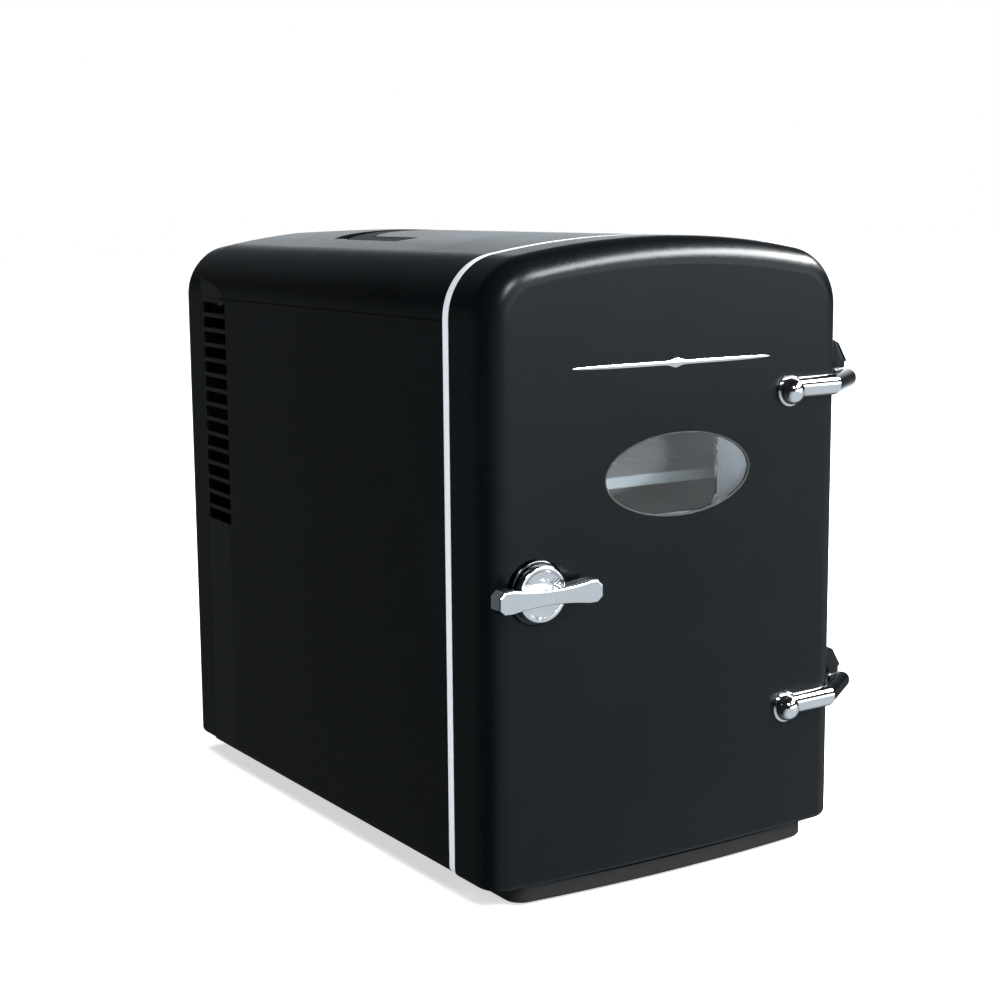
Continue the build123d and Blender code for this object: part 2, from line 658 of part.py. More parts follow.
with BuildPart() as inner_fan_motor:
    with BuildSketch(front(INNER_FAN_Y - 0.4)):
        with Locations((0, COOL_Z)):
            Circle(10.0)
    extrude(amount=INNER_FAN_Y - 0.4 - COVER_Y - 2.0)
    with BuildSketch(front(INNER_FAN_Y)):
        with Locations((0, COOL_Z)):
            Circle(1.2 + RUN)
    extrude(amount=3.5, mode=Mode.SUBTRACT)
save(inner_fan_motor, "inner_fan_motor")

with BuildPart() as inner_fan_rotor:
    rotor(INNER_FAN_Y, INNER_FAN_END, 9.0, 25.0, 7, 0.5, 6.5)
    with BuildSketch(front(INNER_FAN_Y + 1)):
        with Locations((0, COOL_Z)):
            Circle(1.2)
    extrude(amount=4.0)
save(inner_fan_rotor, "inner_fan_rotor")

OUTER_FAN_END = 221.0
FAN_W = 80.0
with BuildPart() as outer_fan_frame:
    with BuildSketch(front(OUTER_FAN_END)):
        with Locations((0, COOL_Z)):
            RectangleRounded(FAN_W, FAN_W, 5.0)
            Circle(38.0, mode=Mode.SUBTRACT)
            with GridLocations(71.5, 71.5, 2, 2):
                Circle(2.1, mode=Mode.SUBTRACT)
    extrude(amount=OUTER_FAN_END - HOT_END_Y)
    with BuildSketch(front(HOT_END_Y + 2.4)):
        with Locations((0, COOL_Z)):
            Circle(15.0)
            with PolarLocations(0, 2, 0, 180):
                Rectangle(77.0, 3.0)
    extrude(amount=2.4)
    with BuildSketch(front(HOT_END_Y + 4.4)):
        with Locations((0, COOL_Z)):
            Circle(1.5 + RUN)
    extrude(amount=4.4, mode=Mode.SUBTRACT)
save(outer_fan_frame, "outer_fan_frame")

with BuildPart() as outer_fan_rotor:
    rotor(HOT_END_Y + 3.4, OUTER_FAN_END - 1, 15.0, 36.8, 9, 0.7, 13.0)
    with BuildSketch(front(HOT_END_Y + 4)):
        with Locations((0, COOL_Z)):
            Circle(1.5)
    extrude(amount=3.5)
save(outer_fan_rotor, "outer_fan_rotor")

# ======== electrics ========
BOARD_Y = 212.0
BOARD_Z = BASE_H + 40.0
with BuildPart() as power_board:
    with BuildSketch(front(BOARD_Y + 1.6)):
        with Locations((0, BOARD_Z)):
            Rectangle(110, 56)
            with GridLocations(100, 46, 2, 2):
                Circle(1.6, mode=Mode.SUBTRACT)
    extrude(amount=1.6)
save(power_board, "power_board")

with BuildPart() as board_parts:
    with BuildSketch(front(BOARD_Y)):
        with Locations((-28, BOARD_Z)):
            Rectangle(26, 24)
    extrude(amount=20)
    with BuildSketch(front(BOARD_Y)):
        with Locations((2, BOARD_Z + 8), (16, BOARD_Z + 8)):
            Circle(5.5)
    extrude(amount=18)
    with BuildSketch(front(BOARD_Y)):
        with Locations((30, BOARD_Z - 2)):
            Rectangle(4, 30)
    extrude(amount=16)
    with BuildSketch(front(BOARD_Y)):
        with Locations((8, BOARD_Z - 14)):
            Rectangle(22, 9)
    extrude(amount=7)
save(board_parts, "board_parts")

with BuildPart() as board_posts:
    with BuildSketch(front(BOARD_Y)):
        with Locations((0, BOARD_Z)):
            with GridLocations(100, 46, 2, 2):
                Circle(3.2)
    extrude(amount=BOARD_Y - FOAM_BACK)
    with BuildSketch(front(BOARD_Y + 3.2)):
        with Locations((0, BOARD_Z)):
            with GridLocations(100, 46, 2, 2):
                Circle(1.5)
    extrude(amount=4.0)
save(board_posts, "board_posts")

# ======== rear cover ========
REAR_EDGE_R = 8.0
REAR_WALL = 2.4
PORT_Z = BASE_H + 36.0
INLET_X = -46.0
SOCKET_X = -8.0
SWITCH_X = 34.0


def rear_outline(inset, mode=Mode.ADD):
    """Front view of the rear cover, set in by inset; its bottom is level with the side panels'."""
    outline(REAR_INSET + inset, bottom_r=0, mode=mode)
    with Locations((0, BASE_H + inset)):
        Rectangle(2 * (HALF - REAR_INSET - inset), BASE_H, align=(Align.CENTER, Align.MIN), mode=mode)


def rear_form(inset, edge_r):
    """Outer form of the rear cover, set in by inset, rounded at the back."""
    with BuildSketch(front(REAR_Y - inset)) as profile:
        rear_outline(inset)
    extrude(profile.sketch, amount=REAR_D - inset)
    back = faces().sort_by(Axis.Y)[-1]
    upper = [edge for edge in back.edges() if edge.center().Z > BASE_H + 20]
    fillet(upper, edge_r)


with BuildPart() as rear_core:
    rear_form(REAR_WALL, REAR_EDGE_R - REAR_WALL)

with BuildPart() as rear_cover:
    rear_form(0.0, REAR_EDGE_R)
    fillet(rear_cover.faces().sort_by(Axis.Z)[0].edges().sort_by(Axis.Y)[-1], DOOR_BOTTOM_R)
    add(rear_core.part, mode=Mode.SUBTRACT)
    # groove along the seam with the side panels and the top shell
    with BuildSketch(front(BODY_D + SEAM_GAP)):
        rear_outline(-SEAM_DEPTH)
        rear_outline(SEAM_DEPTH, mode=Mode.SUBTRACT)
    extrude(amount=2 * SEAM_GAP, mode=Mode.SUBTRACT)
    with BuildSketch(front(REAR_Y)):
        for row in range(-6, 7):
            row_z = 5.8 * row
            with Locations((0, COOL_Z + row_z)):
                SlotOverall(2 * sqrt(39.0**2 - row_z**2), 3.0)
        with Locations((0, COOL_Z)):
            Rectangle(2.6, 90, mode=Mode.SUBTRACT)
            Rectangle(90, 2.6, rotation=0, mode=Mode.SUBTRACT)
    extrude(amount=2 * REAR_WALL, mode=Mode.SUBTRACT)
    with BuildSketch(front(REAR_Y)):
        with Locations((INLET_X, PORT_Z)):
            Rectangle(24.2, 16.2)
        with Locations((SOCKET_X, PORT_Z)):
            Circle(5.6)
        with Locations((SWITCH_X, PORT_Z)):
            Rectangle(15.2, 22.2)
        with Locations((0, BASE_H + BODY_H / 2 - 4)):
            with GridLocations(144, 190, 2, 2):
                Circle(1.7)
    extrude(amount=2 * REAR_WALL, mode=Mode.SUBTRACT)
save(rear_cover, "rear_cover")

with BuildPart() as rear_cover_screws:
    with BuildSketch(front(REAR_Y + 1.6)):
        with Locations((0, BASE_H + BODY_H / 2 - 4)):
            with GridLocations(144, 190, 2, 2):
                Circle(3.2)
    extrude(amount=1.6)
    fillet(rear_cover_screws.faces().group_by(Axis.Y)[-1].edges(), 1.0)
    with BuildSketch(front(REAR_Y)):
        with Locations((0, BASE_H + BODY_H / 2 - 4)):
            with GridLocations(144, 190, 2, 2):
                Circle(1.5)
    extrude(amount=10)
    with BuildSketch(front(REAR_Y + 1.6)):
        with Locations((0, BASE_H + BODY_H / 2 - 4)):
            with GridLocations(144, 190, 2, 2):
                with PolarLocations(0, 2, 0, 180):
                    Rectangle(3.4, 0.8)
    extrude(amount=0.9, mode=Mode.SUBTRACT)
save(rear_cover_screws, "rear_cover_screws")

INLET_FLANGE = 1.5
with BuildPart() as mains_inlet:
    with BuildSketch(front(REAR_Y + INLET_FLANGE)):
        with Locations((INLET_X, PORT_Z)):
            RectangleRounded(29, 21, 2.5)
    extrude(amount=INLET_FLANGE)
    with BuildSketch(front(REAR_Y)):
        with Locations((INLET_X, PORT_Z)):
            Rectangle(24, 16)
    extrude(amount=14)
    with BuildSketch(front(REAR_Y + INLET_FLANGE)):
        with Locations((INLET_X, PORT_Z)):
            SlotOverall(19, 9.6)
    extrude(amount=12, mode=Mode.SUBTRACT)
    with BuildSketch(front(REAR_Y - 1)):
        with Locations((INLET_X, PORT_Z)):
            with GridLocations(8.6, 1, 2, 1):
                Circle(1.2)
    extrude(amount=11)
save(mains_inlet, "mains_inlet")

with BuildPart() as low_voltage_socket:
    with BuildSketch(front(REAR_Y + INLET_FLANGE)):
        with Locations((SOCKET_X, PORT_Z)):
            Circle(7.5)
    extrude(amount=INLET_FLANGE)
    with BuildSketch(front(REAR_Y)):
        with Locations((SOCKET_X, PORT_Z)):
            Circle(5.5)
    extrude(amount=12)
    with BuildSketch(front(REAR_Y + INLET_FLANGE)):
        with Locations((SOCKET_X, PORT_Z)):
            Circle(4.4)
            Circle(1.0, mode=Mode.SUBTRACT)
    extrude(amount=10, mode=Mode.SUBTRACT)
save(low_voltage_socket, "low_voltage_socket")

ROCKER_PIVOT_Y = 247.5
with BuildPart() as switch_bezel:
    with BuildSketch(front(REAR_Y + INLET_FLANGE)):
        with Locations((SWITCH_X, PORT_Z)):
            RectangleRounded(20, 27, 2.0)
    extrude(amount=INLET_FLANGE)
    with BuildSketch(front(REAR_Y)):
        with Locations((SWITCH_X, PORT_Z)):
            Rectangle(15, 22)
    extrude(amount=14)
    with BuildSketch(front(REAR_Y + INLET_FLANGE)):
        with Locations((SWITCH_X, PORT_Z)):
            Rectangle(12.4, 19.4)
    extrude(amount=13.5, mode=Mode.SUBTRACT)
    with BuildSketch(Plane.YZ.offset(SWITCH_X)):
        with Locations((ROCKER_PIVOT_Y, PORT_Z)):
            Circle(1.2 + RUN)
    extrude(amount=7.2, both=True, mode=Mode.SUBTRACT)
save(switch_bezel, "switch_bezel")

with BuildPart() as mode_switch:
    pivot_plane = Plane(origin=(SWITCH_X, ROCKER_PIVOT_Y, PORT_Z), x_dir=(0, 1, 0), z_dir=(1, 0, 0))
    with BuildSketch(pivot_plane):
        with BuildLine():
            Polyline((-4, -3), (-4, 3), (0, 8.2), (6.4, 8.2))
            ThreePointArc((6.4, 8.2), (5.0, 0), (6.4, -8.2))
            Polyline((6.4, -8.2), (0, -8.2), (-4, -3))
        make_face()
    extrude(amount=5.8, both=True)
    with BuildSketch(pivot_plane):
        Circle(1.2)
    extrude(amount=7.0, both=True)
save(mode_switch, "mode_switch")


# ======== door ========
def door_form(inset):
    """Outer form of the door, set in by inset: bowed front, soft edges on the sides and top."""
    with BuildSketch(front(-DOOR_BACK)) as profile:
        outline(inset, bottom_r=0)
    extrude(profile.sketch, amount=DOOR_FRONT)
    with BuildSketch(Plane.XY) as bow:
        with Locations((0, DOOR_CURVE_R - DOOR_FRONT)):
            Circle(DOOR_CURVE_R - inset)
    extrude(bow.sketch, amount=2 * TOP_Z, mode=Mode.INTERSECT)
    bowed = faces().sort_by(Axis.Y)[0]
    upper = [edge for edge in bowed.edges() if edge.center().Z > BASE_H + 20]
    fillet(upper, DOOR_EDGE_R - inset)


with BuildPart() as door_outer:
    door_form(0.0)
    fillet(door_outer.faces().sort_by(Axis.Z)[0].edges().sort_by(Axis.Y)[:3], DOOR_BOTTOM_R)

with BuildPart() as door_core:
    door_form(SKIN)

with BuildPart() as door_clearance:
    # the door's plan at hinge height, grown by the hinge leaves' clearance
    with BuildSketch(Plane.XY) as plan:
        with Locations((0, -DOOR_BACK)):
            Rectangle(WIDTH + 2 * LEAF_GAP, DOOR_FRONT, align=(Align.CENTER, Align.MAX))
        with Locations((0, DOOR_CURVE_R - DOOR_FRONT)):
            Circle(DOOR_CURVE_R + LEAF_GAP, mode=Mode.INTERSECT)
        fillet(plan.vertices().sort_by(Axis.Y)[:2], DOOR_EDGE_R + LEAF_GAP)
    extrude(amount=TOP_Z)

def latch_round(y_back, length, radius, mode=Mode.ADD):
    """Round stretch on the latch's axis, from y_back towards the front."""
    with BuildSketch(front(y_back)) as profile:
        with Locations((LATCH_X, LATCH_Z)):
            Circle(radius)
    extrude(profile.sketch, amount=length, mode=mode)


with BuildPart() as door_shell:
    add(door_outer.part)
    add(door_core.part, mode=Mode.SUBTRACT)
    with BuildSketch(front(0)):
        with Locations((0, WINDOW_Z)):
            Ellipse(WINDOW_A, WINDOW_B)
    extrude(amount=2 * DOOR_FRONT, mode=Mode.SUBTRACT)
    latch_round(0, 2 * DOOR_FRONT, SPINDLE_R + 0.6, Mode.SUBTRACT)
    latch_round(SEAT_Y, DOOR_FRONT, ESCUTCHEON_R + 0.3, Mode.SUBTRACT)
save(door_shell, "door_shell")

with BuildPart() as door_insulation:
    door_form(SKIN + SLIM)
    with BuildSketch(front(-DOOR_BACK)):
        outline()
    extrude(amount=DOOR_LINER_T + SLIM, mode=Mode.SUBTRACT)
    with BuildSketch(front(0)):
        with Locations((0, WINDOW_Z)):
            RectangleRounded(FRAME_W + SLIM, FRAME_H + SLIM, FRAME_R)
    extrude(amount=2 * DOOR_FRONT, mode=Mode.SUBTRACT)
    latch_round(0, 2 * DOOR_FRONT, SPINDLE_R + 0.6, Mode.SUBTRACT)
    latch_round(SEAT_Y + 2.4, DOOR_FRONT, ESCUTCHEON_R + 0.6, Mode.SUBTRACT)
save(door_insulation, "door_insulation")

with BuildPart() as door_liner:
    with BuildSketch(front(-DOOR_BACK)):
        outline(SKIN + SLIM, bottom_r=0)
        with Locations((0, WINDOW_Z)):
            RectangleRounded(FRAME_W + SLIM, FRAME_H + SLIM, FRAME_R, mode=Mode.SUBTRACT)
        with Locations((LATCH_X, LATCH_Z)):
            Circle(SPINDLE_R + 0.6, mode=Mode.SUBTRACT)
    extrude(amount=DOOR_LINER_T)
save(door_liner, "door_liner")

GASKET_INSET = 11.0
with BuildPart() as door_gasket:
    with BuildSketch(front(-0.4)):
        outline(GASKET_INSET)
        outline(GASKET_INSET + GASKET_W, mode=Mode.SUBTRACT)
    extrude(amount=DOOR_BACK - 0.4)
    fillet(door_gasket.faces().sort_by(Axis.Y)[-1].edges(), 1.2)
save(door_gasket, "door_gasket")

PANE_BACK = -31.0
with BuildPart() as window_pane_outer:
    with BuildSketch(front(PANE_BACK)):
        with Locations((0, WINDOW_Z)):
            Ellipse(WINDOW_A - 0.2, WINDOW_B - 0.2)
    extrude(amount=5)
    with BuildSketch(Plane.XY):
        with Locations((0, DOOR_CURVE_R - DOOR_FRONT)):
            Circle(DOOR_CURVE_R - 0.5)
    extrude(amount=2 * TOP_Z, mode=Mode.INTERSECT)
save(window_pane_outer, "window_pane_outer")

with BuildPart() as window_frame:
    with BuildSketch(front(-DOOR_BACK)):
        with Locations((0, WINDOW_Z)):
            RectangleRounded(FRAME_W, FRAME_H, FRAME_R)
            inner_w = FRAME_W - 2 * FRAME_T
            RectangleRounded(inner_w, FRAME_H - 2 * FRAME_T, FRAME_R - FRAME_T, mode=Mode.SUBTRACT)
    extrude(amount=26.0)
save(window_frame, "window_frame")

with BuildPart() as window_pane_inner:
    with BuildSketch(front(-DOOR_BACK - SLIM)):
        with Locations((0, WINDOW_Z)):
            pane_gap = 2 * FRAME_T + SLIM
            RectangleRounded(FRAME_W - pane_gap, FRAME_H - pane_gap, FRAME_R - FRAME_T)
    extrude(amount=2.0)
save(window_pane_inner, "window_pane_inner")

# ======== latch ========
HUB_Y = SEAT_Y - ESCUTCHEON_T - 0.3  # back of the hub
BAR_Y = HUB_Y - HUB_T  # back of the bar
with BuildPart() as latch_escutcheon:
    latch_round(SEAT_Y, ESCUTCHEON_T, ESCUTCHEON_R)
    fillet(latch_escutcheon.faces().sort_by(Axis.Y)[0].edges(), 1.2)
    latch_round(SEAT_Y, ESCUTCHEON_T, SPINDLE_R + RUN, Mode.SUBTRACT)
save(latch_escutcheon, "latch_escutcheon")

with BuildPart() as latch_hub:
    latch_round(HUB_Y, HUB_T, HUB_R)
    fillet(latch_hub.faces().sort_by(Axis.Y)[0].edges(), 0.9)
save(latch_hub, "latch_hub")

with BuildPart() as latch_bar:
    with BuildSketch(Plane(origin=(LATCH_X, BAR_Y, LATCH_Z), x_dir=(1, 0, 0), z_dir=(0, -1, 0))):
        end = BAR_L / 2
        flare = end - 6.0
        clip = 2.4
        with BuildLine():
            for side in (-1, 1):
                top = side * BAR_END_HALF
                ThreePointArc((-flare, top), (0, side * BAR_WAIST_HALF), (flare, top))
                Polyline(
                    (side * flare, BAR_END_HALF),
                    (side * (end - clip), BAR_END_HALF - 0.1),
                    (side * end, clip),
                    (side * end, -clip),
                    (side * (end - clip), 0.1 - BAR_END_HALF),
                    (side * flare, -BAR_END_HALF),
                )
        make_face()
    extrude(amount=BAR_T)
    fillet(latch_bar.faces().sort_by(Axis.Y)[0].edges(), 1.0)
save(latch_bar, "latch_bar")

with BuildPart() as latch_spindle:
    latch_round(CAM_Y, CAM_Y - HUB_Y, SPINDLE_R)
    latch_round(CAM_Y + CAM_T, CAM_T, STUB_R)
save(latch_spindle, "latch_spindle")

with BuildPart() as latch_cam:
    with BuildSketch(front(CAM_Y + CAM_T)):
        with Locations((LATCH_X, LATCH_Z)):
            Circle(CAM_HUB_R)
            Rectangle(CAM_W, CAM_L, align=(Align.CENTER, Align.MIN))
            Circle(STUB_R, mode=Mode.SUBTRACT)
    extrude(amount=CAM_T)
save(latch_cam, "latch_cam")

with BuildPart() as cam_screw:
    latch_round(CAM_Y + CAM_T + CAM_SCREW_T, CAM_SCREW_T, CAM_SCREW_R)
    with BuildSketch(front(CAM_Y + CAM_T + CAM_SCREW_T)):
        with Locations((LATCH_X, LATCH_Z)):
            with PolarLocations(0, 2, 0, 180):
                Rectangle(3.6, 0.8)
    extrude(amount=0.8, mode=Mode.SUBTRACT)
save(cam_screw, "cam_screw")

with BuildPart() as latch_keeper:
    with BuildSketch(front(LINER + KEEPER_T)):
        with Locations((POCKET_X + SLIM, LATCH_Z - POCKET_LOW + SLIM)):
            Rectangle(POCKET_LIP - 3 * SLIM, POCKET_H - 2 * SLIM, align=(Align.MIN, Align.MIN))
    extrude(amount=KEEPER_T)
save(latch_keeper, "latch_keeper")

# ======== hinges ========
PLATE_LOW = -8.0  # the bracket's plate and fin, from the middle of the hinge
PLATE_HIGH = 12.0
FIN_HIGH = 19.4
FIN_BACK_Y = PIVOT_Y + 3.0
FIN_TOP_Y = PIVOT_Y + 1.4  # the fin's front face leans back from the neck to here
FIN_TIP_X = PIVOT_X + KNUCKLE_R - 0.4
PAD_Y = 15.0  # pad between the plate and the side panel
SCREW_Z = 1.0
BORE_H = 2.3  # depth of the pin's bore in the lug
for place, height in zip(("lower", "upper"), HINGE_HEIGHTS):
    mid_z = BASE_H + height
    bulb_x = ARM_PATH[0][0]

    with BuildPart() as hinge_leaf:
        with BuildSketch(Plane.XY.offset(mid_z + ARM_LOW)):
            with BuildLine():
                Polyline(*ARM_PATH)
            trace(line_width=ARM_W)
        extrude(amount=ARM_HIGH - ARM_LOW)
        ends = hinge_leaf.faces().sort_by(Axis.Z)
        fillet(ends[0].edges() + ends[-1].edges(), ARM_EDGE_R)
        with BuildSketch(Plane.XY.offset(mid_z + ARM_LOW)):
            with Locations((PIVOT_X, PIVOT_Y)):
                Circle(KNUCKLE_R)
        extrude(amount=ARM_HIGH - ARM_LOW)
        with Locations((bulb_x, BULB_Y, mid_z)):
            Sphere(BULB_R, rotation=(90, 0, 0))
        with BuildSketch(front(-DOOR_FRONT / 2)):
            with Locations((bulb_x, mid_z)):
                Circle(FLANGE_R)
        extrude(amount=-FLANGE_Y - DOOR_FRONT / 2)
        add(door_clearance.part, mode=Mode.SUBTRACT)
        with BuildSketch(Plane.XY.offset(mid_z + ARM_LOW)):
            with Locations((PIVOT_X, PIVOT_Y)):
                Circle(PIN_R + RUN)
        extrude(amount=ARM_HIGH - ARM_LOW, mode=Mode.SUBTRACT)
    save(hinge_leaf, f"hinge_leaf_{place}")

    with BuildPart() as hinge_bracket:
        with BuildSketch(Plane.XY.offset(mid_z + LUG_LOW)):
            with Locations((PIVOT_X, PIVOT_Y)):
                Circle(KNUCKLE_R)
            with Locations((HALF + SIDE_GAP, PIVOT_Y)):
                Rectangle(PIVOT_X - HALF - SIDE_GAP, 2 * NECK_HALF, align=(Align.MIN, Align.CENTER))
        extrude(amount=LUG_HIGH - LUG_LOW)
        with BuildSketch(Plane.YZ.offset(HALF + SIDE_GAP)):
            with BuildLine():
                Polyline(
                    (PIVOT_Y - NECK_HALF, mid_z + LUG_LOW),
                    (PIVOT_Y - NECK_HALF + 1, mid_z + FIN_HIGH),
                    (PIVOT_Y + NECK_HALF, mid_z + FIN_HIGH),
                    (PLATE_BACK, mid_z + PLATE_HIGH),
                    (PLATE_BACK, mid_z + PLATE_LOW),
                    (2.0, mid_z + PLATE_LOW),
                    (2.0, mid_z + LUG_LOW),
                    close=True,
                )
            make_face()
        extrude(amount=PLATE_X - HALF - SIDE_GAP)
        with BuildSketch(Plane.YZ.offset(HALF)):
            with Locations((PAD_Y, mid_z + SCREW_Z)):
                RectangleRounded(25.0, 17.0, 2.0)
        extrude(amount=SIDE_GAP)
        with BuildSketch(front(FIN_BACK_Y)):
            with BuildLine():
                Polyline(
                    (PLATE_X - 0.5, mid_z + LUG_HIGH - 0.5),
                    (FIN_TIP_X, mid_z + LUG_HIGH - 0.5),
                    (PIVOT_X - 0.6, mid_z + FIN_HIGH - 2.4),
                    (PLATE_X - 0.5, mid_z + FIN_HIGH),
                    close=True,
                )
            make_face()
        extrude(amount=FIN_BACK_Y - PIVOT_Y + NECK_HALF)
        with BuildSketch(Plane.YZ.offset(PLATE_X)):
            with BuildLine():
                Polyline(
                    (PIVOT_Y - NECK_HALF, mid_z + LUG_HIGH),
                    (FIN_TOP_Y, mid_z + FIN_HIGH),
                    (PIVOT_Y - NECK_HALF, mid_z + FIN_HIGH),
                    close=True,
                )
            make_face()
        extrude(amount=2 * KNUCKLE_R, mode=Mode.SUBTRACT)
        with BuildSketch(Plane.XY.offset(mid_z + LUG_LOW)):
            with Locations((PIVOT_X, PIVOT_Y)):
                Circle(PIN_R)
        extrude(amount=BORE_H, mode=Mode.SUBTRACT)
        with BuildSketch(Plane.YZ.offset(HALF)):
            with Locations(*[(screw_y, mid_z + SCREW_Z) for screw_y in SCREW_YS]):
                Circle(1.6)
        extrude(amount=PLATE_X - HALF, mode=Mode.SUBTRACT)
    save(hinge_bracket, f"hinge_bracket_{place}")

with BuildPart() as hinge_pins:
    for height in HINGE_HEIGHTS:
        head_z = BASE_H + height + ARM_LOW - 0.3
        with BuildSketch(Plane.XY.offset(head_z)):
            with Locations((PIVOT_X, PIVOT_Y)):
                Circle(PIN_R)
        extrude(amount=BASE_H + height + LUG_LOW + BORE_H - head_z)
        with BuildSketch(Plane.XY.offset(head_z - PIN_HEAD_T)):
            with Locations((PIVOT_X, PIVOT_Y)):
                Circle(PIN_HEAD_R)
        extrude(amount=PIN_HEAD_T)
save(hinge_pins, "hinge_pins")

with BuildPart() as bracket_screws:
    for height in HINGE_HEIGHTS:
        places = [(screw_y, BASE_H + height + SCREW_Z) for screw_y in SCREW_YS]
        with BuildSketch(Plane.YZ.offset(PLATE_X)):
            with Locations(*places):
                Circle(3.0)
        extrude(amount=1.4)
        with BuildSketch(Plane.YZ.offset(HALF)):
            with Locations(*places):
                Circle(1.5)
        extrude(amount=PLATE_X - HALF)
    fillet(bracket_screws.faces().group_by(Axis.X)[-1].edges(), 0.9)
save(bracket_screws, "bracket_screws")
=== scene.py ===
import json
import math

import bmesh
import bpy
from mathutils import Matrix, Vector


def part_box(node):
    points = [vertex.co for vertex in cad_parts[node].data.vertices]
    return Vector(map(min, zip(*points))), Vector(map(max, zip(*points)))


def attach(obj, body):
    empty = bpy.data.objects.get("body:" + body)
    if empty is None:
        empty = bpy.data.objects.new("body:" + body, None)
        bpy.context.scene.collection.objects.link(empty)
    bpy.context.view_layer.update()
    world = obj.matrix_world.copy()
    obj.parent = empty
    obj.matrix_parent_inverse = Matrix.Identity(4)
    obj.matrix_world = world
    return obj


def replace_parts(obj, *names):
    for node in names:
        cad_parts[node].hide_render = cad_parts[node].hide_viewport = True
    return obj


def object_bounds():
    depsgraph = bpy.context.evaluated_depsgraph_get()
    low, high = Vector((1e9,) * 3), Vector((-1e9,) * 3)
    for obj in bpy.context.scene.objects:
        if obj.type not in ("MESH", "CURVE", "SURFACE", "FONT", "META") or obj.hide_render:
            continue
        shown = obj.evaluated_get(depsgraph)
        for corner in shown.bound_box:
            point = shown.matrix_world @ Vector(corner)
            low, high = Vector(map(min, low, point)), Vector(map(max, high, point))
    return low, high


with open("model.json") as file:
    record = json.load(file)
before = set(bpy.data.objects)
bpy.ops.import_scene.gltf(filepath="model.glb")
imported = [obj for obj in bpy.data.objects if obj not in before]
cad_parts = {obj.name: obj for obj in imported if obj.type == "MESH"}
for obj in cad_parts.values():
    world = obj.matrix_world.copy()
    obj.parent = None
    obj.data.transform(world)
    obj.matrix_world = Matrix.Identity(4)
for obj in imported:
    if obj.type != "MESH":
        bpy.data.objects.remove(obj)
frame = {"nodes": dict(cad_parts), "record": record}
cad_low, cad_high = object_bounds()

# Retro countertop mini fridge: satin black cabinet and door, silver-white trim, chrome latch and hinges.
# Metres, in the CAD row's frame: X to the right seen from the front, Y towards the back, Z up.

MM = 0.001
NODES = frame["nodes"]
RECORD = frame["record"]


# ======== materials ========
class Nodes:
    """Helpers that add nodes to one shader tree."""

    def __init__(self, tree):
        self.tree = tree

    def node(self, kind, links=(), **settings):
        """A new node. Links gives each named socket another node's output or a value."""
        made = self.tree.nodes.new(kind)
        for key, value in settings.items():
            setattr(made, key, value)
        for socket, source in dict(links).items():
            if isinstance(source, bpy.types.NodeSocket):
                self.tree.links.new(source, made.inputs[socket])
            else:
                made.inputs[socket].default_value = source
        return made

    def remap(self, value, low, high, to_low=0.0, to_high=1.0, smooth=False):
        """Value from low..high to to_low..to_high, held at the ends."""
        links = {
            "Value": value, "From Min": low, "From Max": high, "To Min": to_low, "To Max": to_high,
        }
        kind = "SMOOTHSTEP" if smooth else "LINEAR"
        return self.node("ShaderNodeMapRange", links, interpolation_type=kind, clamp=True).outputs["Result"]

    def math(self, operation, a, b):
        """The output of a Math node on a and b, each an output or a value."""
        made = self.node("ShaderNodeMath", operation=operation)
        for socket, source in zip(made.inputs, (a, b)):
            if isinstance(source, bpy.types.NodeSocket):
                self.tree.links.new(source, socket)
            else:
                socket.default_value = source
        return made.outputs[0]


class Surface(Nodes):
    """One Principled material. Its colour, roughness and relief are fed by textures in object space."""

    def __init__(self, name, colour, roughness, **uniform):
        self.material = bpy.data.materials.new(name)
        self.material.use_nodes = True
        super().__init__(self.material.node_tree)
        self.shader = self.tree.nodes["Principled BSDF"]
        self.colour = (*colour, 1.0)
        self.roughness = roughness
        self.shader.inputs["Base Color"].default_value = self.colour
        self.shader.inputs["Roughness"].default_value = roughness
        for socket, value in uniform.items():
            self.shader.inputs[socket.replace("_", " ")].default_value = value
        self.place = self.tree.nodes.new("ShaderNodeTexCoord").outputs["Object"]
        self.height = None

    def stretched(self, stretch):
        """Object coordinates scaled by stretch, so that a texture runs along an axis."""
        return self.node("ShaderNodeMapping", {"Vector": self.place, "Scale": stretch}).outputs["Vector"]

    def noise(self, size, detail=3.0, stretch=(1, 1, 1), distortion=0.0):
        """Soft noise whose features are about size metres across, from 0 to 1."""
        links = {
            "Vector": self.stretched(stretch),
            "Scale": 1 / size,
            "Detail": detail,
            "Distortion": distortion,
        }
        return self.node("ShaderNodeTexNoise", links).outputs["Fac"]

    def cells(self, size, feature="F1", output="Distance"):
        """Voronoi cells about size metres across."""
        links = {"Vector": self.place, "Scale": 1 / size}
        return self.node("ShaderNodeTexVoronoi", links, feature=feature).outputs[output]

    def tint(self, factor, other):
        """Mixes the colour so far with another by factor."""
        made = self.node("ShaderNodeMix", data_type="RGBA")
        self.tree.links.new(factor, made.inputs[0])
        base = self.shader.inputs["Base Color"]
        if base.is_linked:
            self.tree.links.new(base.links[0].from_socket, made.inputs[6])
        else:
            made.inputs[6].default_value = self.colour
        made.inputs[7].default_value = (*other, 1.0)
        self.tree.links.new(made.outputs[2], base)
        return self

    def gloss(self, factor, low, high):
        """Roughness from low to high by factor."""
        self.tree.links.new(self.remap(factor, 0.0, 1.0, low, high), self.shader.inputs["Roughness"])
        return self

    def relief(self, height, depth):
        """Adds height, times depth in metres, to the surface's bump."""
        scaled = self.math("MULTIPLY", height, depth)
        self.height = scaled if self.height is None else self.math("ADD", self.height, scaled)
        return self

    def done(self):
        if self.height is not None:
            bump = self.node("ShaderNodeBump", {"Height": self.height, "Strength": 1.0, "Distance": 1.0})
            self.tree.links.new(bump.outputs["Normal"], self.shader.inputs["Normal"])
        return self.material


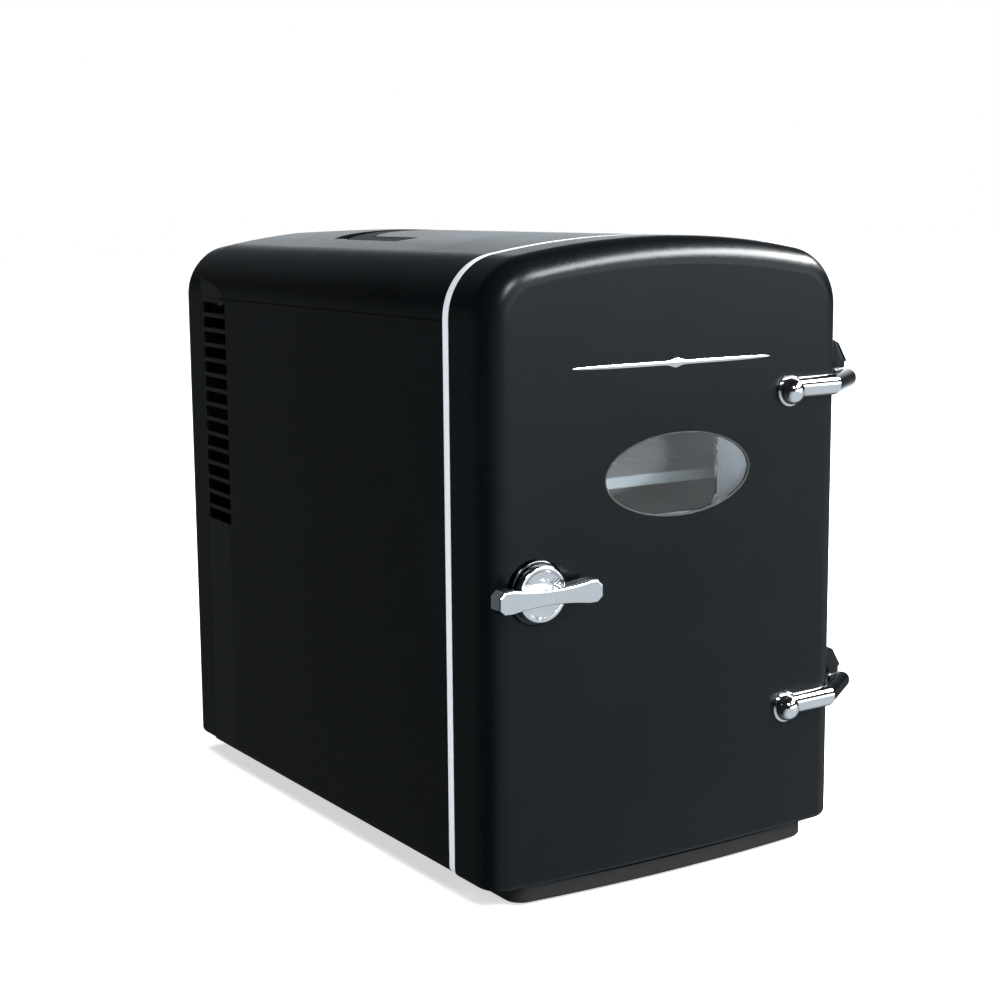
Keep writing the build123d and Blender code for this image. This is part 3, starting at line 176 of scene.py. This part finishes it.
def add_dust(surface, spacing, speck, amount, colour=(0.30, 0.30, 0.30)):
    """Sparse pale specks of dust: a small disc in some of the cells."""
    near = surface.remap(surface.cells(spacing), speck / spacing, 0.4 * speck / spacing, 0.0, amount)
    cell = surface.cells(spacing, output="Color")
    pick = surface.node("ShaderNodeSeparateColor", {"Color": cell}).outputs[0]
    chosen = surface.remap(pick, 0.86, 0.88)
    return surface.tint(surface.math("MULTIPLY", near, chosen), colour)


def satin_black():
    """Satin black moulding: orange-peel skin, fine spark grain, faint handling marks and a little dust."""
    s = Surface("satin_black", (0.0010, 0.0015, 0.0020), 0.27, Specular_IOR_Level=0.24)
    s.shader.inputs["Specular Tint"].default_value = (0.90, 0.98, 1.0, 1.0)
    handling = s.noise(0.045, detail=4.0, distortion=0.6)
    s.gloss(handling, 0.23, 0.31)
    s.tint(s.remap(s.noise(0.12, detail=2.0), 0.4, 0.7), (0.0015, 0.0021, 0.0027))
    s.relief(s.noise(0.0022, detail=2.0), 0.000010)
    s.relief(s.noise(0.00045, detail=2.0), 0.0000035)
    return add_dust(s, 0.020, 0.0004, 0.35).done()


def grained_black():
    """Matt black moulding with a coarser spark-eroded grain."""
    s = Surface("grained_black", (0.0050, 0.0053, 0.0060), 0.5, Specular_IOR_Level=0.32)
    s.gloss(s.noise(0.03, detail=3.0), 0.50, 0.62)
    s.relief(s.cells(0.0009, feature="SMOOTH_F1"), 0.000022)
    s.relief(s.noise(0.0004), 0.000008)
    return add_dust(s, 0.016, 0.0004, 0.4).done()


def inner_black():
    """Matt black plastic of fans, sockets and switch, with flow marks."""
    s = Surface("inner_black", (0.0150, 0.0155, 0.0165), 0.48)
    s.gloss(s.noise(0.012, detail=4.0, stretch=(1, 1, 0.35)), 0.38, 0.56)
    s.relief(s.noise(0.0006), 0.000006)
    return add_dust(s, 0.008, 0.0003, 0.5).done()


def silver_trim():
    """Silver-white gloss trim with a faint ripple and fine metallic flake."""
    s = Surface("silver_trim", (0.50, 0.53, 0.57), 0.38, Specular_IOR_Level=0.4)
    flake = s.cells(0.00035, output="Color")
    sparkle = s.node("ShaderNodeSeparateColor", {"Color": flake}).outputs[1]
    s.tint(s.remap(sparkle, 0.0, 1.0, 0.0, 0.22), (0.70, 0.72, 0.75))
    s.gloss(s.noise(0.02, detail=3.0), 0.34, 0.46)
    s.relief(s.noise(0.006, detail=1.0), 0.000012)
    return s.done()


def liner_white():
    """Pale vacuum-formed sheet: glossy, with slow thickness ripples and a slight warm-cool drift."""
    s = Surface("liner_white", (0.80, 0.84, 0.88), 0.30, Coat_Weight=0.25, Coat_Roughness=0.12)
    s.tint(s.remap(s.noise(0.05, detail=2.0), 0.35, 0.75, 0.0, 0.6), (0.74, 0.79, 0.84))
    s.gloss(s.noise(0.015, detail=4.0), 0.24, 0.38)
    s.relief(s.noise(0.009, detail=1.0), 0.000030)
    s.relief(s.noise(0.0006), 0.000003)
    return s.done()


def clear_pane():
    """Clear moulded acrylic with faint smears and a soft waviness."""
    s = Surface("clear_pane", (0.95, 0.98, 0.99), 0.0, Transmission_Weight=1.0, IOR=1.22)
    s.gloss(s.remap(s.noise(0.012, detail=5.0, distortion=1.2), 0.52, 0.75), 0.0, 0.025)
    s.relief(s.noise(0.012, detail=1.0), 0.000006)
    return s.done()


def chrome():
    """Chrome-plated zinc: mirror bright, with a faint casting ripple, haze and hairline scratches."""
    s = Surface("chrome", (0.90, 0.91, 0.93), 0.06, Metallic=1.0)
    haze = s.noise(0.006, detail=4.0, distortion=0.8)
    s.gloss(haze, 0.035, 0.13)
    s.tint(s.remap(haze, 0.45, 0.8, 0.0, 0.5), (0.80, 0.81, 0.84))
    s.relief(s.noise(0.004, detail=1.0), 0.0000060)
    hairline = s.noise(0.0016, detail=2.0, stretch=(0.05, 1.0, 6.0))
    s.relief(s.remap(hairline, 0.60, 0.66), 0.0000006)
    return s.done()


def shade_darkened_chrome():
    """Chrome with painted shade, for the hinge brackets and the ring behind the latch: its colour is darkened
    to stand in for the dark reflections on these parts. Glossy, with a soft haze.
    """
    s = Surface("shade_darkened_chrome", (0.050, 0.054, 0.058), 0.12, Metallic=1.0)
    haze = s.noise(0.005, detail=4.0, distortion=0.8)
    s.gloss(haze, 0.09, 0.20)
    s.tint(s.remap(haze, 0.45, 0.8, 0.0, 0.5), (0.035, 0.038, 0.042))
    s.relief(s.noise(0.004, detail=1.0), 0.0000060)
    return s.done()


def zinc_steel():
    """Zinc-plated steel fasteners and shafts: satin, mottled, with turning marks."""
    s = Surface("zinc_steel", (0.52, 0.53, 0.55), 0.32, Metallic=1.0)
    s.gloss(s.noise(0.0015, detail=4.0), 0.24, 0.44)
    s.tint(s.remap(s.cells(0.0012), 0.2, 0.8, 0.0, 0.5), (0.44, 0.45, 0.46))
    s.relief(s.noise(0.0005, detail=3.0), 0.000006)
    return s.done()


def soft_rubber():
    """Soft dark rubber, matt, with bloom and a fine pebbled skin."""
    s = Surface("soft_rubber", (0.022, 0.022, 0.023), 0.72, Specular_IOR_Level=0.35)
    s.tint(s.remap(s.noise(0.004, detail=5.0), 0.5, 0.8, 0.0, 0.6), (0.050, 0.050, 0.052))
    s.gloss(s.noise(0.003), 0.62, 0.85)
    s.relief(s.cells(0.0005), 0.000014)
    return s.done()


def bead_foam():
    """Expanded bead foam: rounded beads pressed together, pits between them, with painted shade darkening the
    pits.
    """
    s = Surface("bead_foam", (0.86, 0.86, 0.84), 0.70)
    edge = s.cells(0.0032, feature="DISTANCE_TO_EDGE")
    # Painted shade: the colour is darker towards the edges of the beads, in the pits between them.
    s.tint(s.remap(edge, 0.10, 0.0, 0.0, 0.5), (0.60, 0.60, 0.58))
    s.gloss(s.noise(0.002), 0.60, 0.85)
    s.relief(s.remap(edge, 0.0, 0.25, smooth=True), 0.00022)
    s.relief(s.noise(0.0006), 0.00002)
    return s.done()


def milled_aluminium():
    """Extruded aluminium: lengthwise die lines, dull oxide patches."""
    s = Surface("milled_aluminium", (0.66, 0.67, 0.69), 0.36, Metallic=1.0)
    lines = s.noise(0.0008, detail=3.0, stretch=(1.0, 1.0, 0.02))
    s.gloss(lines, 0.26, 0.50)
    s.tint(s.remap(s.noise(0.018, detail=5.0), 0.5, 0.8, 0.0, 0.5), (0.50, 0.51, 0.53))
    s.relief(lines, 0.000012)
    return s.done()


def fired_ceramic():
    """White alumina plates: chalky, with grains and faint grey speckle."""
    s = Surface("fired_ceramic", (0.88, 0.88, 0.86), 0.55)
    s.tint(s.remap(s.cells(0.0009), 0.20, 0.0, 0.0, 0.5), (0.62, 0.62, 0.60))
    s.gloss(s.noise(0.002), 0.45, 0.68)
    s.relief(s.noise(0.0004, detail=4.0), 0.000010)
    return s.done()


def circuit_board():
    """Green solder mask over copper tracks on glass-fibre weave."""
    s = Surface("circuit_board", (0.012, 0.085, 0.035), 0.28, Coat_Weight=0.3, Coat_Roughness=0.15)
    track = s.node(
        "ShaderNodeTexBrick",
        {"Vector": s.place, "Scale": 140.0, "Mortar Size": 0.06, "Mortar Smooth": 0.2, "Bias": 0.0},
    ).outputs["Fac"]
    s.tint(s.math("MULTIPLY", track, 0.8), (0.030, 0.190, 0.075))
    s.gloss(s.noise(0.003), 0.22, 0.36)
    s.relief(track, 0.00003)
    weave = s.node("ShaderNodeTexWave", {"Vector": s.place, "Scale": 320.0, "Distortion": 0.4}).outputs["Fac"]
    s.relief(weave, 0.000004)
    return s.done()


FINISH = {
    "black_shell": satin_black(),
    "black_handle": grained_black(),
    "black_base": grained_black(),
    "pale_trim": silver_trim(),
    "pale_liner": liner_white(),
    "clear_pane": clear_pane(),
    "chrome": chrome(),
    "steel": zinc_steel(),
    "rubber": soft_rubber(),
    "foam": bead_foam(),
    "aluminium": milled_aluminium(),
    "ceramic": fired_ceramic(),
    "black_plastic": inner_black(),
    "board": circuit_board(),
}


# Painted shade: the hinge brackets and the ring behind the latch get chrome whose colour is darkened to show
# dark reflections.
SHADE_DARKENED_CHROME = shade_darkened_chrome()
SHADE_DARKENED_NODES = ("hinge_bracket_lower", "hinge_bracket_upper", "latch_escutcheon")


def dress_cad_nodes():
    """Gives every CAD node the finish of its slot in the record, or the chrome darkened with painted shade.
    """
    for part in RECORD["subparts"]:
        finish = SHADE_DARKENED_CHROME if part["node"] in SHADE_DARKENED_NODES else FINISH[part["material_slot"]]
        for slot in NODES[part["node"]].material_slots:
            slot.material = finish


dress_cad_nodes()


# ======== detail pieces ========
TURN = 2 * math.pi


def add_piece(name, corners, faces, body, slot, crease=35, finish=None):
    """A closed mesh piece that rides on body, smooth except where faces meet at more than crease degrees.

    It takes the slot's material unless finish is another one.
    """
    mesh = bpy.data.meshes.new(name)
    mesh.from_pydata([Vector(corner) for corner in corners], [], faces)
    shape = bmesh.new()
    shape.from_mesh(mesh)
    bmesh.ops.recalc_face_normals(shape, faces=shape.faces)
    for face in shape.faces:
        face.smooth = True
    for edge in shape.edges:
        edge.smooth = edge.calc_face_angle(0.0) < math.radians(crease)
    shape.to_mesh(mesh)
    shape.free()
    mesh.materials.append(finish or FINISH[slot])
    piece = bpy.data.objects.new(name, mesh)
    bpy.context.scene.collection.objects.link(piece)
    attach(piece, body)
    return piece


def loft(name, rings, body, slot, closed=False, crease=35, finish=None):
    """Skins rings of equally many points. Closed joins the last ring to the first, else both are capped."""
    count = len(rings[0])
    corners = [point for ring in rings for point in ring]
    faces = []
    for index in range(len(rings) if closed else len(rings) - 1):
        here = index * count
        ahead = (index + 1) % len(rings) * count
        for step in range(count):
            after = (step + 1) % count
            faces.append((here + step, here + after, ahead + after, ahead + step))
    if not closed:
        faces.append(tuple(range(count)))
        faces.append(tuple(range(len(corners) - count, len(corners))))
    return add_piece(name, corners, faces, body, slot, crease, finish)


DOOR_FRONT_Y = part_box("door_shell")[0].y
BOW_RADIUS = 1.150


def door_front_y(x):
    """Depth of the bowed door's front at x."""
    return DOOR_FRONT_Y + BOW_RADIUS - math.sqrt(BOW_RADIUS**2 - x**2)


def add_latch_hub():
    """Turned hub of the latch: milled rim, two grooves and a fluted ring round the bar's seat."""
    low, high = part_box("latch_hub")
    centre = (low + high) / 2
    radius = (high.x - low.x) / 2
    front, back = low.y, high.y
    flutes = 40
    steps = flutes * 8
    # radius, depth behind the front, height of the flutes
    profile = (
        (radius - 0.6 * MM, back - front, 0.0),
        (radius, back - front - 0.5 * MM, 0.0),
        (radius, 0.9 * MM, 0.0),
        (radius - 0.15 * MM, 0.45 * MM, 0.0),
        (radius - 0.5 * MM, 0.12 * MM, 0.0),
        (radius - 0.9 * MM, 0.0, 0.0),
        (radius - 1.5 * MM, 0.0, 0.0),
        (radius - 1.6 * MM, 0.28 * MM, 0.0),
        (radius - 2.0 * MM, 0.28 * MM, 0.0),
        (radius - 2.2 * MM, 0.12 * MM, 0.0),
        (radius - 2.6 * MM, 0.14 * MM, 0.03 * MM),
        (radius - 4.8 * MM, 0.14 * MM, 0.03 * MM),
        (radius - 5.2 * MM, 0.12 * MM, 0.0),
        (radius - 5.4 * MM, 0.28 * MM, 0.0),
        (radius - 5.8 * MM, 0.28 * MM, 0.0),
        (radius - 5.9 * MM, 0.0, 0.0),
        (1.0 * MM, 0.0, 0.0),
    )
    rings = []
    for ring_radius, depth, flute in profile:
        ring = []
        for step in range(steps):
            angle = TURN * step / steps
            sink = flute * math.cos(flutes * angle)
            x = centre.x + ring_radius * math.cos(angle)
            z = centre.z + ring_radius * math.sin(angle)
            ring.append((x, front + depth + sink, z))
        rings.append(ring)
    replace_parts(loft("latch_hub_turned", rings, "latch", "chrome", crease=30), "latch_hub")


def add_window_bead():
    """Black rubber bead round the oval pane, standing on the pane's edge."""
    low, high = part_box("window_pane_outer")
    centre = (low + high) / 2
    outer_a = (high.x - low.x) / 2 + 0.15 * MM
    outer_b = (high.z - low.z) / 2 + 0.15 * MM
    # inset from the pane's rim, depth behind the door's front
    section = (
        (0.0, 0.75), (0.0, 0.10), (0.10, -0.02), (0.35, -0.06), (0.60, 0.02), (0.75, 0.20), (0.8, 0.75),
    )
    rings = []
    steps = 160
    for step in range(steps):
        angle = TURN * step / steps
        ring = []
        for inset, depth in section:
            x = centre.x + (outer_a - inset * MM) * math.cos(angle)
            z = centre.z + (outer_b - inset * MM) * math.sin(angle)
            ring.append((x, door_front_y(x) + depth * MM, z))
        rings.append(ring)
    loft("window_bead", rings, "door", "rubber", closed=True)


TRIM_CORNER_R = 25 * MM
TRIM_CROWN_R = 380 * MM
# points along half of the crown, one corner, one side and half of the bottom
CROWN_STEPS, CORNER_STEPS, SIDE_STEPS, BOTTOM_STEPS = 12, 12, 8, 4


def outline_points(inset):
    """Points round the cabinet's outline, set in by inset metres, always the same number of them."""
    low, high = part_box("trim_ring")
    half = (high.x - low.x) / 2
    corner_x = half - TRIM_CORNER_R
    crown_z = high.z - TRIM_CROWN_R
    corner_z = crown_z + math.sqrt((TRIM_CROWN_R - TRIM_CORNER_R) ** 2 - corner_x**2)
    lean = math.atan2(corner_x, corner_z - crown_z)
    bottom = low.z + inset
    right = []
    for step in range(CROWN_STEPS + 1):
        angle = lean * step / CROWN_STEPS
        reach = TRIM_CROWN_R - inset
        right.append((reach * math.sin(angle), crown_z + reach * math.cos(angle)))
    for step in range(1, CORNER_STEPS + 1):
        angle = lean + (TURN / 4 - lean) * step / CORNER_STEPS
        reach = TRIM_CORNER_R - inset
        right.append((corner_x + reach * math.sin(angle), corner_z + reach * math.cos(angle)))
    for step in range(1, SIDE_STEPS + 1):
        right.append((half - inset, corner_z + (bottom - corner_z) * step / SIDE_STEPS))
    for step in range(1, BOTTOM_STEPS + 1):
        right.append(((half - inset) * (1 - step / BOTTOM_STEPS), bottom))
    return right + [(-x, z) for x, z in reversed(right[1:-1])]


def add_gasket():
    """Bellows gasket: a foot, two folds and a flat sealing face, swept round the door."""
    low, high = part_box("door_gasket")
    shell_low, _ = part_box("door_shell")
    outer = low.x - shell_low.x
    # distance in from the outer edge, depth from the door's back
    section = (
        (0.2, 0.0), (5.8, 0.0), (5.8, 0.7), (4.5, 1.0), (5.7, 1.6), (4.7, 2.2), (5.6, 2.8), (5.3, 3.5),
        (4.6, 3.8), (1.4, 3.8), (0.7, 3.5), (0.4, 2.8), (1.3, 2.2), (0.3, 1.6), (1.5, 1.0), (0.2, 0.7),
    )
    depth = high.y - low.y
    loops = [outline_points(outer + inset * MM) for inset, _ in section]
    rings = []
    for place in range(len(loops[0])):
        ring = []
        for loop, (_, rise) in zip(loops, section):
            ring.append((loop[place][0], low.y + min(rise * MM, depth), loop[place][1]))
        rings.append(ring)
    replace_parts(loft("gasket_bellows", rings, "door", "rubber", closed=True, crease=30), "door_gasket")


def add_feet():
    """Four ribbed rubber pads under the base plate."""
    low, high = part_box("rubber_feet")
    radius = 6.0 * MM
    top = high.z - low.z
    rise = 0.35 * MM
    # radius, height above the pad's underside
    profile = (
        (radius, top), (radius, 0.5 * MM), (radius - 0.45 * MM, 0.0), (4.7 * MM, 0.0), (4.5 * MM, rise),
        (3.9 * MM, rise), (3.7 * MM, 0.0), (2.5 * MM, 0.0), (2.3 * MM, rise), (1.6 * MM, rise),
        (1.4 * MM, 0.0), (0.3 * MM, 0.0),
    )
    steps = 48
    angles = [TURN * step / steps for step in range(steps)]
    for name, x, y in (
        ("foot_front_left", low.x + radius, low.y + radius),
        ("foot_front_right", high.x - radius, low.y + radius),
        ("foot_back_left", low.x + radius, high.y - radius),
        ("foot_back_right", high.x - radius, high.y - radius),
    ):
        rings = [
            [(x + r * math.cos(angle), y + r * math.sin(angle), low.z + height) for angle in angles]
            for r, height in profile
        ]
        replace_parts(loft(name, rings, "cabinet", "rubber"), "rubber_feet")


def add_door_ornament():
    """Plain chrome strip across the upper door, tapered to both ends, with a small lens at its middle."""
    length, middle_x, middle_z = 98 * MM, -2.5 * MM, 211.0 * MM
    sunk = 0.25 * MM
    lens_width, blunt_end = 0.055, 0.004
    steps, arc = 96, 12
    rings = []
    for step in range(steps + 1):
        t = 2 * step / steps - 1
        x = middle_x + t * length / 2
        lens = math.exp(-((t / lens_width) ** 2))
        taper = math.sqrt(max(1 - t**4, blunt_end))
        half = (0.95 * taper + 1.15 * lens) * MM
        proud = (0.55 * taper + 0.35 * lens) * MM
        surface = door_front_y(x)
        ring = [(x, surface + sunk, middle_z - half), (x, surface + sunk, middle_z + half)]
        for turn in range(arc + 1):
            angle = math.pi * turn / arc
            ring.append((x, surface - proud * math.sin(angle), middle_z + half * math.cos(angle)))
        rings.append(ring)
    loft("door_ornament", rings, "door", "chrome", crease=60)


# The bracket's fin, from the low corner of its box: middle of the hinge in Z, the fin's left end in X and its
# front face in Y. That face starts at FIN_FOOT above the middle and leans back by FIN_LEAN over FIN_RISE,
# all three in millimetres.
BRACKET_LOW = 8.0 * MM
FIN_LEFT = 2.4 * MM
FIN_FRONT = 1.5 * MM
FIN_FOOT = 9.2
FIN_LEAN = 4.9
FIN_RISE = 10.2
FIN_PROUD = 1.8 * MM
FIN_SUNK = 0.4 * MM


def add_hinge_fin(place):
    """Upright rounded front of the bracket's fin, narrowing to the top, above the hinge arm."""
    low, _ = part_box(f"hinge_bracket_{place}")
    middle_z = low.z + BRACKET_LOW
    left = low.x + FIN_LEFT
    face = low.y + FIN_FRONT
    # height above the middle of the hinge, right end of the fin from the bracket's side, in millimetres
    levels = ((9.3, 13.4), (11.0, 12.4), (13.0, 11.1), (15.0, 9.9), (17.0, 8.6), (18.2, 5.9), (19.2, 3.6))
    arc = 16
    rings = []
    for height, reach in levels:
        back = face + FIN_SUNK + FIN_LEAN * (height - FIN_FOOT) / FIN_RISE * MM
        middle_x = (left + low.x + reach * MM) / 2
        half = middle_x - left
        ring = []
        for step in range(arc + 1):
            angle = math.pi * step / arc
            x = middle_x - half * math.cos(angle)
            ring.append((x, face - FIN_PROUD * math.sin(angle), middle_z + height * MM))
        ring.append((middle_x + half, back, middle_z + height * MM))
        ring.append((left, back, middle_z + height * MM))
        rings.append(ring)
    # Painted shade: the fin takes the chrome whose colour is darkened to show dark reflections.
    loft(f"hinge_fin_{place}", rings, "cabinet", "chrome", crease=50, finish=SHADE_DARKENED_CHROME)


add_latch_hub()
add_window_bead()
add_hinge_fin("lower")
add_hinge_fin("upper")
add_gasket()
add_feet()
add_door_ornament()


# ======== stage ========
FLOOR_Z = cad_low.z
FLOOR_HALF = 8.0


def floor_surface():
    """Plain pale paper: almost white, with very slow mottling."""
    s = Surface("floor_paper", (0.82, 0.82, 0.82), 0.85, Specular_IOR_Level=0.1, Emission_Strength=0.6)
    s.shader.inputs["Emission Color"].default_value = (1.0, 1.0, 1.0, 1.0)
    s.tint(s.remap(s.noise(0.6, detail=2.0), 0.4, 0.7, 0.0, 0.4), (0.80, 0.80, 0.805))
    s.gloss(s.noise(0.1), 0.8, 0.9)
    return s.done()


def add_floor():
    mesh = bpy.data.meshes.new("floor")
    corners = [(x * FLOOR_HALF, y * FLOOR_HALF, FLOOR_Z) for x, y in ((-1, -1), (1, -1), (1, 1), (-1, 1))]
    mesh.from_pydata(corners, [], [(0, 1, 2, 3)])
    floor = bpy.data.objects.new("floor", mesh)
    bpy.context.scene.collection.objects.link(floor)
    mesh.materials.append(floor_surface())
    floor.visible_glossy = False


def aim(obj, spot):
    """Turns a light's -Z towards spot."""
    obj.rotation_euler = (Vector(spot) - obj.location).to_track_quat("-Z", "Y").to_euler()


def add_softbox(name, place, spot, width, height, watts, colour=(1.0, 1.0, 1.0)):
    data = bpy.data.lights.new(name, "AREA")
    data.shape = "RECTANGLE"
    data.size = width
    data.size_y = height
    data.energy = watts
    data.color = colour
    light = bpy.data.objects.new(name, data)
    bpy.context.scene.collection.objects.link(light)
    light.location = place
    aim(light, spot)
    return light


def add_sun(name, direction, strength, angle):
    data = bpy.data.lights.new(name, "SUN")
    data.energy = strength
    data.angle = math.radians(angle)
    light = bpy.data.objects.new(name, data)
    bpy.context.scene.collection.objects.link(light)
    light.location = Vector(direction)
    aim(light, (0, 0, 0))
    return light


def add_world():
    """White seen directly. For every other ray a dark room with a few pale regions and a grey table top."""
    world = bpy.data.worlds.new("studio")
    world.use_nodes = True
    tree = world.node_tree
    room = Nodes(tree)
    ray = room.node("ShaderNodeTexCoord").outputs["Generated"]
    height = room.node("ShaderNodeSeparateXYZ", {"Vector": ray}).outputs["Z"]

    def towards(direction, low, high, strength):
        """Radiance that rises from nothing to strength as the ray turns towards direction."""
        unit = Vector(direction).normalized()
        dot = room.node("ShaderNodeVectorMath", {0: ray, 1: unit}, operation="DOT_PRODUCT").outputs["Value"]
        return room.remap(dot, low, high, 0.0, strength, smooth=True)

    def both(a, b):
        return room.math("MULTIPLY", a, b)

    def between(low, high, soft):
        """One where the ray's height is within low..high, fading to nothing over soft outside."""
        return both(room.remap(height, low - soft, low), room.remap(height, high + soft, high))

    # A bright low panel at the front right and the table top below it.
    screen = both(towards((0.50, -0.85, 0.0), 0.72, 0.97, 2.9), between(0.02, 0.18, 0.10))
    table = both(towards((0.45, -0.9, -0.5), 0.1, 0.75, 0.62), room.remap(height, 0.02, -0.08))
    # The room behind on the right, the wall at the left and a faint glow above the back.
    rear = both(towards((0.50, 0.85, 0.0), 0.80, 0.95, 1.20), between(-0.3, 0.17, 0.14))
    side = both(towards((-0.55, 0.83, -0.1), 0.6, 0.95, 0.09), room.remap(height, 0.2, 0.0))
    crown = towards((0.25, 0.85, 0.35), 0.75, 0.97, 0.12)
    walls = room.math("ADD", room.math("MAXIMUM", screen, table), room.math("MAXIMUM", rear, side))
    walls = room.math("ADD", walls, crown)
    radiance = room.math("ADD", walls, 0.014)
    dim = tree.nodes["Background"]
    dim.inputs["Color"].default_value = (0.86, 0.94, 1.0, 1.0)
    tree.links.new(radiance, dim.inputs["Strength"])
    paper = tree.nodes.new("ShaderNodeBackground")
    paper.inputs["Color"].default_value = (1.0, 1.0, 1.0, 1.0)
    seen = tree.nodes.new("ShaderNodeLightPath").outputs["Is Camera Ray"]
    mix = tree.nodes.new("ShaderNodeMixShader")
    tree.links.new(seen, mix.inputs[0])
    tree.links.new(dim.outputs[0], mix.inputs[1])
    tree.links.new(paper.outputs[0], mix.inputs[2])
    tree.links.new(mix.outputs[0], tree.nodes["World Output"].inputs[0])
    bpy.context.scene.world = world


def add_camera():
    azimuth, elevation, roll = (math.radians(v) for v in (-32.70, 9.20, -0.48))
    back = Vector((
        math.sin(azimuth) * math.cos(elevation),
        -math.cos(azimuth) * math.cos(elevation),
        math.sin(elevation),
    ))
    right = Vector((0, 0, 1)).cross(back).normalized()
    up = back.cross(right)
    axes = Matrix((right, up, back)).transposed().to_4x4()
    data = bpy.data.cameras.new("camera")
    data.sensor_width = 36.0
    data.lens = 67.8
    camera = bpy.data.objects.new("camera", data)
    bpy.context.scene.collection.objects.link(camera)
    place = Vector((-461.3, -619.7, 276.7)) * MM
    camera.matrix_world = Matrix.Translation(place) @ axes @ Matrix.Rotation(roll, 4, "Z")
    bpy.context.scene.camera = camera


def add_stage():
    middle = (cad_low + cad_high) / 2
    add_floor()
    add_world()
    add_camera()
    fill = (
        add_sun("overhead", (0.1, -0.1, 1.0), 3.6, 70),
        add_sun("left_fill", (-1.0, -0.2, 0.25), 0.35, 50),
        add_sun("front_fill", (0.3, -1.0, 0.2), 1.25, 40),
    )
    for light in fill:
        light.visible_glossy = False
    add_softbox("key", (1.16, -0.72, 1.15), middle, 2.3, 0.36, 108)
    add_softbox("front_left", (-0.30, -1.30, 1.05), middle, 0.26, 0.26, 11)
    bpy.context.scene.view_settings.view_transform = "Standard"


add_stage()
